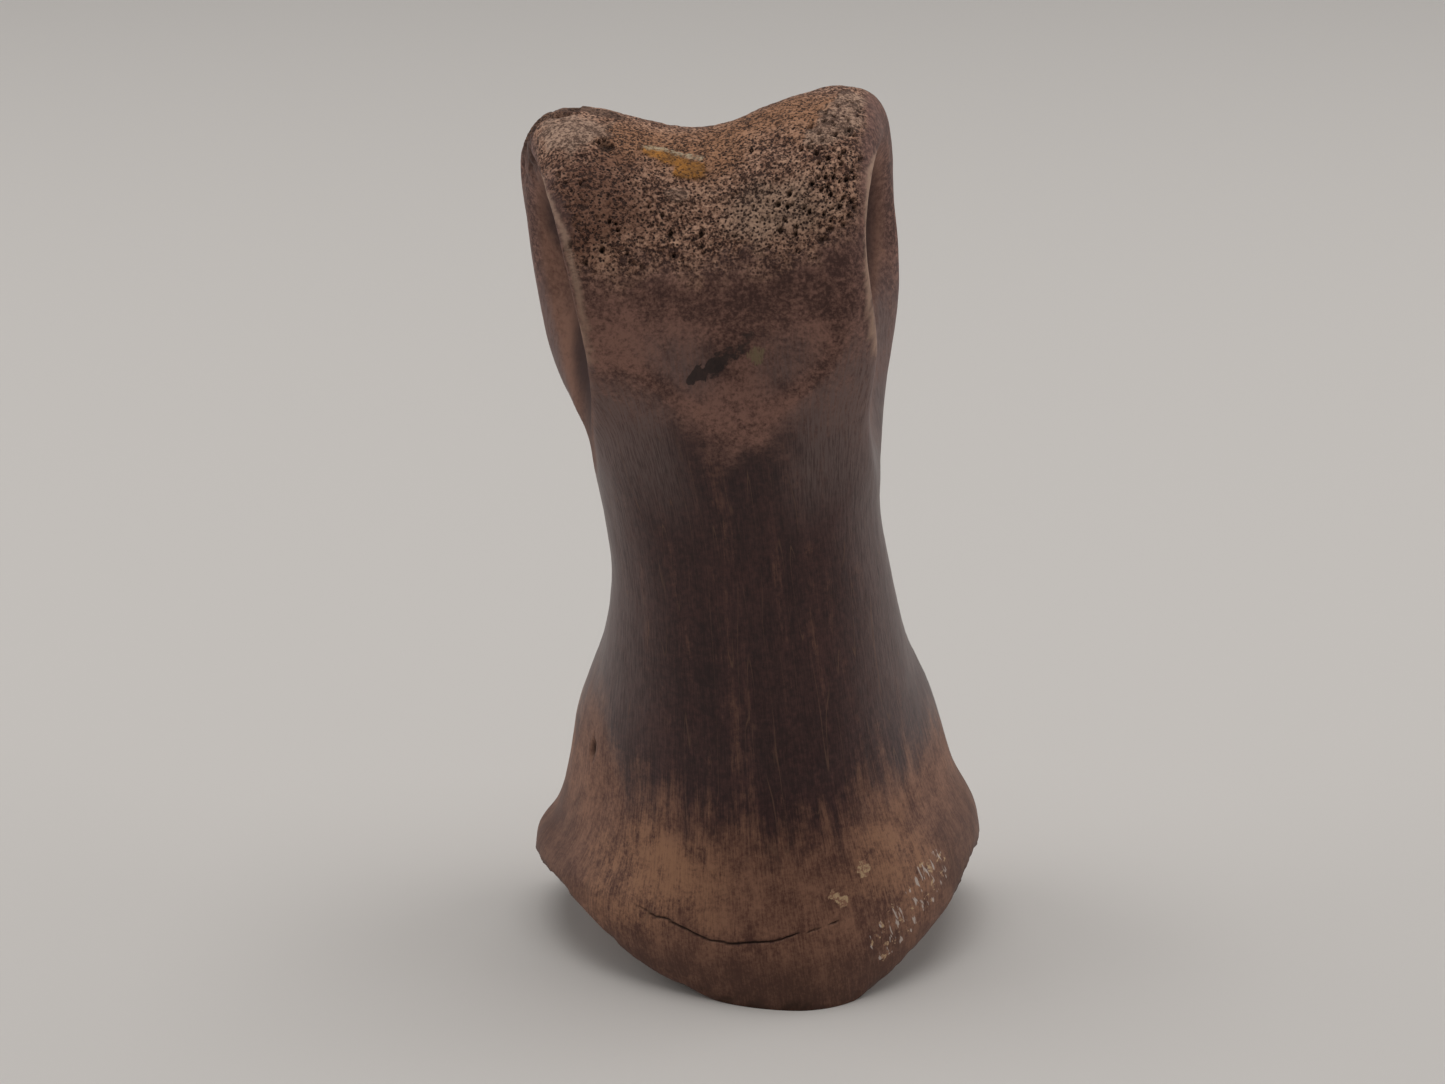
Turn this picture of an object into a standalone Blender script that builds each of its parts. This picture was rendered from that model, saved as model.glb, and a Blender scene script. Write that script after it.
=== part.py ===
"""Fossil toe bone of a small running dinosaur, standing on its near end.

The bone is one solid. A field gives, for any point, how far it lies outside the bone
(below zero means inside): a tapering shaft, a grooved roller on its far end, two low
knobs near its foot, hollows pressed in from the sides and the front, and a dished
joint face underneath. Rays that fan out from points inside the bone find where the
field crosses zero, and the crossings make one closed mesh.

Metres, +Z up the bone, -Y its front (the side a tendon straightens the toe from),
+Y its back, +X its right in a view of the front.
"""

import math

import bpy
import numpy as np

MM = 0.001

# Outlines of the shaft and the near end: (height, distance from the Z axis).
LEFT_OUTLINE = MM * np.array(
    [(0, -14.4), (3, -16.5), (6.5, -17.3), (9, -15.6), (13, -13.9), (18, -13.0),
     (24, -11.8), (30, -11.1), (36, -11.8), (42, -13.4), (48, -14.6), (56, -15.4)])
RIGHT_OUTLINE = MM * np.array(
    [(0, 14.8), (3, 16.4), (6.5, 17.5), (9, 17.1), (13, 14.8), (18, 12.9),
     (24, 11.3), (30, 10.0), (36, 9.1), (42, 9.9), (48, 10.4), (56, 10.0)])
FRONT_OUTLINE = MM * np.array(
    [(0, -14.5), (4, -14.3), (9, -12.8), (15, -11.1), (22, -10.0),
     (30, -9.4), (38, -9.4), (46, -10.3), (54, -11.0)])
BACK_OUTLINE = MM * np.array(
    [(0, 13.4), (4, 13.8), (9, 12.6), (15, 10.2), (22, 8.5), (30, 7.5), (38, 7.6), (46, 8.6), (54, 9.2)])

# Where a cross-section is widest, and where its front and back stand proudest.
WIDEST_AT = MM * np.array([(0, 2.5), (8, 3.0), (20, 1.0), (34, -1.0), (44, 1.0), (56, 2.0)])
KEEL_AT = MM * np.array([(0, 3.0), (10, 1.5), (22, 0.2), (34, -1.0), (46, -2.6), (58, -3.5)])

# Fullness of a cross-section: 2 is an ellipse, more is squarer, less is more pointed.
FRONT_FULLNESS = np.array([(0, 1.8), (10, 1.9), (22, 2.1), (34, 2.3), (44, 2.8), (56, 3.0)]) * (MM, 1)
BACK_FULLNESS = np.array([(0, 3.2), (10, 2.8), (22, 2.4), (34, 2.4), (56, 3.0)]) * (MM, 1)
SHAFT_GIRTH = 10.0 * MM
SHAFT_TOP = 57.0 * MM
SHAFT_TOP_EDGE = 6.0 * MM

# Shallow trough down the middle of the back, where the bending tendon ran.
TROUGH_DEPTH = 0.9 * MM
TROUGH_WIDTH = 4.5 * MM
TROUGH_HEIGHT = 14.0 * MM
TROUGH_REACH = 16.0 * MM

# Roller of the far joint. Its side faces flare towards the back and rise outwards.
ROLLER_CENTRE = MM * np.array((-3.2, 0.6, 54.2))
ROLLER_RADIUS = 11.8 * MM
ROLLER_TILT = math.radians(4.1)
ROLLER_LEFT = 12.45 * MM
ROLLER_RIGHT = 12.2 * MM
BACK_FLARE_LEFT = 0.29
BACK_FLARE_RIGHT = 0.20
FRONT_FLARE_LEFT = 0.10
FRONT_FLARE_RIGHT = 0.05
ROLLER_RISE_LEFT = 0.06
ROLLER_RISE_RIGHT = 0.085
FLARE_LIMIT = 8.0 * MM
ROLLER_EDGE_LEFT = 2.2 * MM
ROLLER_EDGE_RIGHT = 4.8 * MM
SHOULDER_AT = 9.0 * MM
SHOULDER_FALL = 0.07 / MM
GROOVE_AT = -0.4 * MM
GROOVE_WIDTH = 6.4 * MM
GROOVE_DEPTH = 2.35 * MM
GROOVE_GAIN = 0.4
ROLLER_BLEND = 3.0 * MM

# Hollows in the sides for the ligaments, in mm: (y, z) of the middle, half sizes, depth.
LEFT_HOLLOWS = (
    ((-3.0, 52.0), (8.8, 9.8), 5.0),
    ((-3.6, 53.0), (5.0, 6.2), 5.4),
    ((-2.4, 44.0), (6.2, 8.2), 1.3),
)
RIGHT_HOLLOWS = (
    ((-2.6, 55.8), (7.6, 7.2), 4.6),
    ((-2.4, 46.5), (5.2, 6.5), 1.0),
)
HOLLOW_EDGE = 1.3 * MM
HOLLOW_JOIN = 2.5 * MM

# Hollow above the shaft on the front, wide at the top and narrow at its foot.
FRONT_HOLLOW_AT = MM * np.array((-1.8, 49.0))
FRONT_HOLLOW_SIZE = MM * np.array((8.4, 6.0))
FRONT_HOLLOW_DEPTH = 4.5 * MM
FRONT_HOLLOW_START = -13.8 * MM
FRONT_HOLLOW_TAPER = 0.06
FRONT_HOLLOW_EDGE = 1.8 * MM
HOLLOWS_ABOVE = 30.0 * MM

# Knobs at the back corners of the near end, in mm: centre and half sizes.
KNOBS = (
    ((-10.8, 5.0, 13.0), (2.6, 4.4, 6.6)),
    ((10.9, 5.5, 13.4), (2.6, 4.4, 6.4)),
)
KNOB_BLEND = 3.5 * MM

# Dished joint face of the near end: an arch from front to back that carries two cups.
FACE_MIDDLE = MM * np.array((2.0, 2.0))
FACE_FRONT = 16.0 * MM
FACE_BACK = 10.3 * MM
FACE_FRONT_CURVE = 1.3
FACE_BACK_CURVE = 2.2
FACE_LIMIT = 1.3
FACE_RISE = 3.7 * MM
FACE_CUP = 1.3 * MM
FACE_CUP_AT = 8.0 * MM
FACE_CUP_WIDTH = 4.0 * MM
FACE_WING = 2.2 * MM
FACE_WING_AT = 12.5 * MM
FACE_WING_RUN = 1.6 * MM
FACE_NOTCH = 1.3 * MM
FACE_NOTCH_WIDTH = 3.4 * MM
FACE_LIP_MIDDLE = 0.6 * MM
FACE_LIP_FLAT = 7.2 * MM
FACE_LIP_CLIMB = 0.08 / MM
FACE_CHIP = 1.6 * MM
FACE_CHIP_AT = 15.5 * MM
FACE_CHIP_RUN = 0.4 * MM
FACE_DROP = 0.8 * MM
FACE_EDGE = 0.9 * MM

# Middle of the bone's box as seen from above: the origin is brought there.
BOX_MIDDLE = MM * np.array((-0.06, -0.44, 0.0))

# Points of the feet this close to the table are brought down onto it.
FOOT_SNAP = 0.03 * MM

# Heights between which the rays are level, and the rows and columns of the mesh.
LOW_POINT = 11.0 * MM
HIGH_POINT = 57.0 * MM
START_SPREAD = 5.0 * MM
SPREAD_FROM = 26.0 * MM
SPREAD_FULL = 46.0 * MM
CORNERS = np.radians((-145.0, -35.0, 35.0, 145.0, 215.0))
SIDE_COLUMNS = (24, 16, 18, 18)
COLUMNS = sum(SIDE_COLUMNS)
CORNER_CROWDING = 0.5
RIDGE_SEARCH = np.radians(np.linspace(-24.0, 20.0, 89))
RIDGE_FROM = 38.0 * MM
RIDGE_FULL = 46.0 * MM
RIDGE_PITCH = math.radians(24.0)
RIDGE_FADE = math.radians(36.0)
ROWS_FACE = 10
ROWS_FLARE = 8
ROWS_SHAFT = 28
ROWS_ROLLER = 16
RIM_CROWDING = 1.35

BONE_COLOUR = (0.066, 0.038, 0.029, 1.0)
BONE_ROUGHNESS = 0.55


def through(stations, height):
    """Smooth curve through the stations: cubic pieces that share a slope where they meet."""
    heights, values = stations.T
    slopes = np.gradient(values, heights)
    piece = np.clip(np.searchsorted(heights, height) - 1, 0, len(heights) - 2)
    length = heights[piece + 1] - heights[piece]
    along = np.clip((height - heights[piece]) / length, 0.0, 1.0)
    rise = values[piece + 1] - values[piece]
    lead_in = slopes[piece] * length - rise
    lead_out = rise - slopes[piece + 1] * length
    bend = along * (1.0 - along) * (lead_in * (1.0 - along) + lead_out * along)
    return values[piece] + along * rise + bend


def blend_max(a, b, width):
    """The larger of two fields, rounded over a width where they are alike (a soft cut)."""
    share = np.clip(0.5 + 0.5 * (a - b) / width, 0.0, 1.0)
    return a * share + b * (1.0 - share) + width * share * (1.0 - share)


def blend_min(a, b, width):
    """The smaller of two fields, rounded over a width where they are alike (a soft join)."""
    return -blend_max(-a, -b, width)


def bell(value, middle, width):
    """Bell curve: 1 at the middle, fading to nothing over about twice the width."""
    return np.exp(-((value - middle) / width) ** 2)


def shaft(x, y, z):
    """Shaft and flared near end: cross-sections are ellipse-like curves of varying fullness."""
    keel = through(KEEL_AT, z)
    widest = through(WIDEST_AT, z)
    trough = TROUGH_DEPTH * bell(x, keel, TROUGH_WIDTH) * bell(z, TROUGH_HEIGHT, TROUGH_REACH)
    half_width = np.where(x < keel, keel - through(LEFT_OUTLINE, z), through(RIGHT_OUTLINE, z) - keel)
    in_front = y < widest
    front = widest - through(FRONT_OUTLINE, z)
    back = through(BACK_OUTLINE, z) - trough - widest
    half_depth = np.where(in_front, front, back)
    fullness = np.where(in_front, through(FRONT_FULLNESS, z), through(BACK_FULLNESS, z))
    across = (np.abs(x - keel) / half_width) ** fullness
    deep = (np.abs(y - widest) / half_depth) ** fullness
    outside = (across + deep) ** (1.0 / fullness) - 1.0
    return blend_max(outside * SHAFT_GIRTH, z - SHAFT_TOP, SHAFT_TOP_EDGE)


def roller_frame(x, y, z):
    """Coordinates along the roller's tilted axis, across it towards the back, and up from it."""
    dx, dy, dz = x - ROLLER_CENTRE[0], y - ROLLER_CENTRE[1], z - ROLLER_CENTRE[2]
    along = dx * math.cos(ROLLER_TILT) + dz * math.sin(ROLLER_TILT)
    up = dz * math.cos(ROLLER_TILT) - dx * math.sin(ROLLER_TILT)
    return along, dy, up


def side_faces(x, y, z):
    """The roller's side faces: planes that rise outwards and flare out, most of all behind."""
    along, dy, up = roller_frame(x, y, z)
    ahead = np.minimum(dy, 0.0)
    behind = FLARE_LIMIT * np.tanh(np.maximum(dy, 0.0) / FLARE_LIMIT)
    left_reach = ROLLER_LEFT + FRONT_FLARE_LEFT * ahead + BACK_FLARE_LEFT * behind
    right_reach = ROLLER_RIGHT + FRONT_FLARE_RIGHT * ahead + BACK_FLARE_RIGHT * behind
    return -along - left_reach - ROLLER_RISE_LEFT * up, along - right_reach - ROLLER_RISE_RIGHT * up


def roller(x, y, z):
    """Far joint: a tilted cylinder with a groove round it, cut by its two side faces.

    Its left end falls away as a parabola, where that joint edge is worn and crumbled.
    """
    along, dy, up = roller_frame(x, y, z)
    groove = GROOVE_DEPTH * (1.0 + GROOVE_GAIN * np.sin(np.arctan2(dy, up)))
    shoulder = SHOULDER_FALL * np.maximum(-along - SHOULDER_AT, 0.0) ** 2
    drum = np.hypot(dy, up) - ROLLER_RADIUS + groove * bell(along, GROOVE_AT, GROOVE_WIDTH) + shoulder
    left, right = side_faces(x, y, z)
    return blend_max(blend_max(drum, left, ROLLER_EDGE_LEFT), right, ROLLER_EDGE_RIGHT)


def knob(x, y, z, centre, half_sizes):
    """Egg-shaped swelling: distance in half sizes from its centre, less one."""
    parts = zip((x, y, z), centre, half_sizes)
    squares = sum(((value / MM - middle) / half) ** 2 for value, middle, half in parts)
    return (np.sqrt(squares) - 1.0) * min(half_sizes) * MM


def side_wall(x, y, z):
    """Shaft and flare with the two knobs blended on."""
    solid = shaft(x, y, z)
    for centre, half_sizes in KNOBS:
        solid = blend_min(solid, knob(x, y, z, centre, half_sizes), KNOB_BLEND)
    return solid


def bowls(y, z, hollows):
    """How deep the side hollows reach below a side face: the deepest of some round dishes."""
    deepest = -SHAFT_GIRTH
    for (middle_y, middle_z), (half_y, half_z), deep in hollows:
        squares = ((y / MM - middle_y) / half_y) ** 2 + ((z / MM - middle_z) / half_z) ** 2
        deepest = blend_max(deep * MM * (1.0 - squares), deepest, HOLLOW_JOIN)
    return deepest


def front_hollow(x, z):
    """How deep the front hollow reaches at each (x, z): a bell whose width grows with height."""
    rise = z - FRONT_HOLLOW_AT[1]
    width = FRONT_HOLLOW_SIZE[0] * np.exp(FRONT_HOLLOW_TAPER * rise / MM)
    return FRONT_HOLLOW_DEPTH * bell(x, FRONT_HOLLOW_AT[0], width) * bell(rise, 0.0, FRONT_HOLLOW_SIZE[1])


def joint_face(x, y):
    """Height of the dished face underneath: an arch from front to back, in two shallow cups.

    Its front edge climbs to both sides of a flat lip, and its right tip is chipped off higher.
    """
    ahead = y < FACE_MIDDLE[1]
    reach = np.abs(y - FACE_MIDDLE[1]) / np.where(ahead, FACE_FRONT, FACE_BACK)
    arch = 1.0 - np.clip(reach, 0.0, FACE_LIMIT) ** np.where(ahead, FACE_FRONT_CURVE, FACE_BACK_CURVE)
    side = np.abs(x - FACE_MIDDLE[0])
    cups = FACE_CUP * bell(side, FACE_CUP_AT, FACE_CUP_WIDTH)
    wings = FACE_WING / (1.0 + np.exp((FACE_WING_AT - side) / FACE_WING_RUN))
    notch = FACE_NOTCH * np.clip(reach, 0.0, 1.0) * bell(side, 0.0, FACE_NOTCH_WIDTH) * ~ahead
    beyond_lip = np.maximum(np.abs(x - FACE_LIP_MIDDLE) - FACE_LIP_FLAT, 0.0)
    climb = FACE_LIP_CLIMB * beyond_lip ** 2 * (1.0 - arch) * ahead
    chip = FACE_CHIP * 0.5 * (1.0 + np.tanh((x - FACE_CHIP_AT) / (2.0 * FACE_CHIP_RUN)))
    return (FACE_RISE + cups + wings) * arch + notch + climb + chip - FACE_DROP


def bone(x, y, z):
    """The whole bone: side wall and roller joined, hollows and joint face cut, feet worn flat."""
    solid = blend_min(side_wall(x, y, z), roller(x, y, z), ROLLER_BLEND)
    left, right = side_faces(x, y, z)
    left = left + bowls(y, z, LEFT_HOLLOWS)
    right = right + bowls(y, z, RIGHT_HOLLOWS)
    front = FRONT_HOLLOW_START + front_hollow(x, z) - y
    pressed_solid = blend_max(blend_max(solid, left, HOLLOW_EDGE), right, HOLLOW_EDGE)
    pressed_solid = blend_max(pressed_solid, front, FRONT_HOLLOW_EDGE)
    solid = np.where(z > HOLLOWS_ABOVE, pressed_solid, solid)
    solid = blend_max(solid, joint_face(x, y) - z, FACE_EDGE)
    return np.maximum(solid, -z)


def crossing(origins, directions, field, reach=45.0 * MM, strides=90, halvings=20):
    """Where rays leave the field: stride out to the first point outside, then halve the gap."""
    inner = np.zeros(origins.shape[:-1])
    outer = np.full_like(inner, reach)
    left_bone = np.zeros(inner.shape, bool)
    for stride in range(1, strides + 1):
        distance = reach * stride / strides
        outside = field(*np.moveaxis(origins + directions * distance, -1, 0)) > 0.0
        first = outside & ~left_bone
        outer[first] = distance
        inner[first] = distance - reach / strides
        left_bone |= first
    for _ in range(halvings):
        middle = (inner + outer) / 2.0
        outside = field(*np.moveaxis(origins + directions * middle[..., None], -1, 0)) > 0.0
        outer = np.where(outside, middle, outer)
        inner = np.where(outside, inner, middle)
    return origins + directions * ((inner + outer) / 2.0)[..., None]


def centre_line(z):
    """The point inside the bone, at each height, that the level rays fan out around."""
    return np.array((float(through(KEEL_AT, z)), 0.0, z))


def starts(height, around, pitch):
    """Ray starts at a height: one point low down, drawn out from front to back higher up."""
    grown = np.clip((height - SPREAD_FROM) / (SPREAD_FULL - SPREAD_FROM), 0.0, 1.0)
    offset = START_SPREAD * grown * np.sin(around) * np.cos(pitch)
    return centre_line(height) + offset[:, None] * np.array((0.0, 1.0, 0.0))


def aims(around, pitch):
    """Unit directions for angles round the bone and pitches above the horizon."""
    level = np.cos(pitch)
    return np.stack((level * np.cos(around), level * np.sin(around), np.sin(pitch)), -1)


def columns_at(height, pitch):
    """Angles of the mesh's columns: the front corners turn to the ridges before the hollows.

    A ridge is where the bone reaches furthest from its centre line near that corner. The
    columns between two corners lie closer together near each corner.
    """
    corners = CORNERS.copy()
    fade = np.clip(1.0 - (pitch - RIDGE_PITCH) / RIDGE_FADE, 0.0, 1.0)
    share = fade * np.clip((height - RIDGE_FROM) / (RIDGE_FULL - RIDGE_FROM), 0.0, 1.0)
    if share > 0.0:
        tried = corners[:2, None] + np.array(((-1.0,), (1.0,))) * RIDGE_SEARCH
        around = tried.ravel()
        level = np.full(around.shape, pitch)
        points = crossing(starts(height, around, level), aims(around, level), bone)
        reach = np.hypot(points[:, 0] - through(KEEL_AT, height), points[:, 1]).reshape(tried.shape)
        furthest = tried[(0, 1), reach.argmax(axis=1)]
        corners[:2] += share * (furthest - corners[:2])
        corners[-1] = corners[0] + 2.0 * math.pi
    crowding = CORNER_CROWDING * math.cos(pitch) / (2.0 * math.pi)
    angles = []
    for start, end, count in zip(corners[:-1], corners[1:], SIDE_COLUMNS):
        step = np.arange(count) / count
        crowded = step - crowding * np.sin(2.0 * math.pi * step)
        angles.append(start + (end - start) * crowded)
    return np.concatenate(angles)


def rim_pitch(around):
    """Pitch, seen from the low point, of the edge between the joint face and the side wall."""
    low = np.full(around.shape, -math.pi / 2.0)
    high = np.zeros(around.shape)
    start = np.broadcast_to(centre_line(LOW_POINT), around.shape + (3,))

    def under(x, y, z):
        return np.maximum(joint_face(x, y), 0.0) - z

    def near_end(x, y, z):
        return np.maximum(side_wall(x, y, z), under(x, y, z))

    for _ in range(20):
        middle = (low + high) / 2.0
        x, y, z = crossing(start, aims(around, middle), near_end).T
        on_wall = side_wall(x, y, z) > under(x, y, z)
        high = np.where(on_wall, middle, high)
        low = np.where(on_wall, low, middle)
    return (low + high) / 2.0


def rays():
    """Starts and directions of all rays, row by row from the joint face to the top."""
    around = columns_at(LOW_POINT, 0.0)
    rim = rim_pitch(around)
    level = np.zeros(COLUMNS)
    straight_up = math.pi / 2.0
    rows = []
    for step in range(1, ROWS_FACE + 1):
        share = 1.0 - (1.0 - step / ROWS_FACE) ** RIM_CROWDING
        rows.append((LOW_POINT, around, (rim + straight_up) * share - straight_up))
    for step in range(1, ROWS_FLARE + 1):
        rows.append((LOW_POINT, around, rim * (1.0 - (step / ROWS_FLARE) ** RIM_CROWDING)))
    for step in range(1, ROWS_SHAFT + 1):
        height = LOW_POINT + (HIGH_POINT - LOW_POINT) * step / (ROWS_SHAFT + 1)
        rows.append((height, columns_at(height, 0.0), level))
    for step in range(ROWS_ROLLER):
        pitch = straight_up * step / ROWS_ROLLER
        rows.append((HIGH_POINT, columns_at(HIGH_POINT, pitch), level + pitch))
    origins = np.array([starts(*row) for row in rows])
    directions = np.array([aims(*row[1:]) for row in rows])
    return origins, directions


def split_quads(points, quads):
    """Two triangles a quad, split along the diagonal whose middle lies nearer the surface."""
    first, second, third, fourth = quads.T
    here = np.abs(bone(*((points[first] + points[third]) / 2.0).T))
    there = np.abs(bone(*((points[second] + points[fourth]) / 2.0).T))
    along_here = np.stack((first, second, third, first, third, fourth), -1)
    along_there = np.stack((first, second, fourth, second, third, fourth), -1)
    chosen = np.where((here <= there)[:, None], along_here, along_there)
    return chosen.reshape(-1, 3)


def bone_mesh():
    """One closed mesh: rings of ray crossings joined to each other, with a fan at each end."""
    rings = crossing(*rays(), bone)
    ends = crossing(np.array([centre_line(LOW_POINT), centre_line(HIGH_POINT)]),
                    np.array([(0.0, 0.0, -1.0), (0.0, 0.0, 1.0)]), bone)
    points = np.vstack((rings.reshape(-1, 3), ends))
    points[:, 2] = np.where(points[:, 2] < FOOT_SNAP, 0.0, points[:, 2])
    column = np.arange(COLUMNS)
    after = (column + 1) % COLUMNS
    lower = np.arange(len(rings) - 1)[:, None] * COLUMNS
    quads = np.stack((lower + column, lower + after, lower + COLUMNS + after, lower + COLUMNS + column), -1)
    under = np.full(COLUMNS, len(points) - 2)
    top = np.full(COLUMNS, len(points) - 1)
    last = (len(rings) - 1) * COLUMNS
    under_fan = np.stack((under, after, column), -1)
    top_fan = np.stack((top, last + column, last + after), -1)
    triangles = np.vstack((split_quads(points, quads.reshape(-1, 4)), under_fan, top_fan))
    mesh = bpy.data.meshes.new("toe_bone")
    mesh.from_pydata((points - BOX_MIDDLE).tolist(), [], triangles.tolist())
    mesh.validate()
    return mesh


def bone_material():
    """Dark brown fossil bone with a dull satin face."""
    material = bpy.data.materials.new("fossil_bone")
    material.use_nodes = True
    surface = material.node_tree.nodes["Principled BSDF"]
    surface.inputs["Base Color"].default_value = BONE_COLOUR
    surface.inputs["Roughness"].default_value = BONE_ROUGHNESS
    surface.inputs["Metallic"].default_value = 0.0
    return material


for old in list(bpy.data.objects):
    bpy.data.objects.remove(old)

bone_object = bpy.data.objects.new("toe_bone", bone_mesh())
bone_object.data.materials.append(bone_material())
bone_object.data.shade_smooth()
bpy.context.collection.objects.link(bone_object)
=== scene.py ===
"""A fossil toe bone of a small running dinosaur, standing on its near end on a pale table.

Metres, +Z up the bone, -Y its front, +X its right in a view of the front.
"""

import math

import bpy
import numpy as np
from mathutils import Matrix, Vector


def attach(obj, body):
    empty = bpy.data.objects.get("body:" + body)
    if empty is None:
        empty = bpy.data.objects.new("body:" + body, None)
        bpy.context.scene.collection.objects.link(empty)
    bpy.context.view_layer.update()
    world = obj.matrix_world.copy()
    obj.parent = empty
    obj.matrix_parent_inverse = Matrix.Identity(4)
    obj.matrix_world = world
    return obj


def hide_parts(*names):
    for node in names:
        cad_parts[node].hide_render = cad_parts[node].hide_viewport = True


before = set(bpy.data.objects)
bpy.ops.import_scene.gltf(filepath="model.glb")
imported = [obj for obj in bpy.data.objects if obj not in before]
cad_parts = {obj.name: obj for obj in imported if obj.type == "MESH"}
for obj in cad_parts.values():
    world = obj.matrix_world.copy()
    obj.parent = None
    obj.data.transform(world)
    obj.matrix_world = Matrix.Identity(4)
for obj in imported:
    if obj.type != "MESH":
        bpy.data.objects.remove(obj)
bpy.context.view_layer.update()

MM = 0.001


# The shaft and the flared near end of the bone: one mineralised piece, grown with a thin waist.
# Its cross-sections are ellipse-like, flatter behind, where a shallow trough held a tendon.

LEFT_OUTLINE = MM * np.array(
    [(0, -14.4), (3, -16.5), (6.5, -17.3), (9, -15.6), (13, -13.9), (18, -13.0),
     (24, -11.8), (30, -11.1), (36, -11.8), (42, -13.4), (48, -14.6), (56, -15.4)])
RIGHT_OUTLINE = MM * np.array(
    [(0, 14.8), (3, 16.4), (6.5, 17.5), (9, 17.1), (13, 14.8), (18, 12.9),
     (24, 11.3), (30, 10.0), (36, 9.1), (42, 9.9), (48, 10.4), (56, 10.0)])
FRONT_OUTLINE = MM * np.array(
    [(0, -14.5), (4, -14.3), (9, -12.8), (15, -11.1), (22, -10.0),
     (30, -9.4), (38, -9.4), (46, -10.3), (54, -11.0)])
BACK_OUTLINE = MM * np.array(
    [(0, 13.4), (4, 13.8), (9, 12.6), (15, 10.2), (22, 8.5), (30, 7.5), (38, 7.6), (46, 8.6), (54, 9.2)])
WIDEST_AT = MM * np.array([(0, 2.5), (8, 3.0), (20, 1.0), (34, -1.0), (44, 1.0), (56, 2.0)])
KEEL_AT = MM * np.array([(0, 3.0), (10, 1.5), (22, 0.2), (34, -1.0), (46, -2.6), (58, -3.5)])
FRONT_FULLNESS = np.array([(0, 1.8), (10, 1.9), (22, 2.1), (34, 2.3), (44, 2.8), (56, 3.0)]) * (MM, 1)
BACK_FULLNESS = np.array([(0, 3.2), (10, 2.8), (22, 2.4), (34, 2.4), (56, 3.0)]) * (MM, 1)
SHAFT_GIRTH = 10.0 * MM
SHAFT_TOP = 57.0 * MM
SHAFT_TOP_EDGE = 6.0 * MM
TROUGH_DEPTH = 0.9 * MM
TROUGH_WIDTH = 4.5 * MM
TROUGH_HEIGHT = 14.0 * MM
TROUGH_REACH = 16.0 * MM


def through(stations, height):
    """Smooth curve through the stations: cubic pieces that share a slope where they meet."""
    heights, values = stations.T
    slopes = np.gradient(values, heights)
    piece = np.clip(np.searchsorted(heights, height) - 1, 0, len(heights) - 2)
    length = heights[piece + 1] - heights[piece]
    along = np.clip((height - heights[piece]) / length, 0.0, 1.0)
    rise = values[piece + 1] - values[piece]
    lead_in = slopes[piece] * length - rise
    lead_out = rise - slopes[piece + 1] * length
    bend = along * (1.0 - along) * (lead_in * (1.0 - along) + lead_out * along)
    return values[piece] + along * rise + bend


def blend_max(a, b, width):
    """The larger of two fields, with a quadratic rounding where they differ by less than width."""
    share = np.clip(0.5 + 0.5 * (a - b) / width, 0.0, 1.0)
    return a * share + b * (1.0 - share) + width * share * (1.0 - share)


def blend_min(a, b, width):
    """The smaller of two fields, rounded in the same way."""
    return -blend_max(-a, -b, width)


def bell(value, middle, width):
    """Bell curve: exp of minus the square of (value - middle) / width."""
    return np.exp(-((value - middle) / width) ** 2)


def shaft(x, y, z):
    """Superellipse of (x, y) at each height: (|dx|/half width)^n + (|dy|/half depth)^n = 1."""
    keel = through(KEEL_AT, z)
    widest = through(WIDEST_AT, z)
    trough = TROUGH_DEPTH * bell(x, keel, TROUGH_WIDTH) * bell(z, TROUGH_HEIGHT, TROUGH_REACH)
    half_width = np.where(x < keel, keel - through(LEFT_OUTLINE, z), through(RIGHT_OUTLINE, z) - keel)
    in_front = y < widest
    front = widest - through(FRONT_OUTLINE, z)
    back = through(BACK_OUTLINE, z) - trough - widest
    half_depth = np.where(in_front, front, back)
    fullness = np.where(in_front, through(FRONT_FULLNESS, z), through(BACK_FULLNESS, z))
    across = (np.abs(x - keel) / half_width) ** fullness
    deep = (np.abs(y - widest) / half_depth) ** fullness
    outside = (across + deep) ** (1.0 / fullness) - 1.0
    return blend_max(outside * SHAFT_GIRTH, z - SHAFT_TOP, SHAFT_TOP_EDGE)


# The roller of the far joint, on which the next bone hinged. It leans a little to the left,
# a broad groove runs round it, and its side faces flare towards the back.

ROLLER_CENTRE = MM * np.array((-3.2, 0.6, 54.2))
ROLLER_RADIUS = 11.8 * MM
ROLLER_TILT = math.radians(4.1)
ROLLER_LEFT = 12.45 * MM
ROLLER_RIGHT = 12.2 * MM
BACK_FLARE_LEFT = 0.29
BACK_FLARE_RIGHT = 0.20
FRONT_FLARE_LEFT = 0.10
FRONT_FLARE_RIGHT = 0.05
ROLLER_RISE_LEFT = 0.06
ROLLER_RISE_RIGHT = 0.085
FLARE_LIMIT = 8.0 * MM
ROLLER_EDGE_LEFT = 2.2 * MM
ROLLER_EDGE_RIGHT = 4.8 * MM
SHOULDER_AT = 9.0 * MM
SHOULDER_FALL = 0.07 / MM
GROOVE_AT = -0.4 * MM
GROOVE_WIDTH = 6.4 * MM
GROOVE_DEPTH = 2.35 * MM
GROOVE_GAIN = 0.4
ROLLER_BLEND = 3.0 * MM


def side_limits(dy, up):
    """How far the left and right side faces stand from the roller's middle, along its axis."""
    ahead = np.minimum(dy, 0.0)
    behind = FLARE_LIMIT * np.tanh(np.maximum(dy, 0.0) / FLARE_LIMIT)
    left = ROLLER_LEFT + FRONT_FLARE_LEFT * ahead + BACK_FLARE_LEFT * behind + ROLLER_RISE_LEFT * up
    right = ROLLER_RIGHT + FRONT_FLARE_RIGHT * ahead + BACK_FLARE_RIGHT * behind + ROLLER_RISE_RIGHT * up
    return left, right


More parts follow.
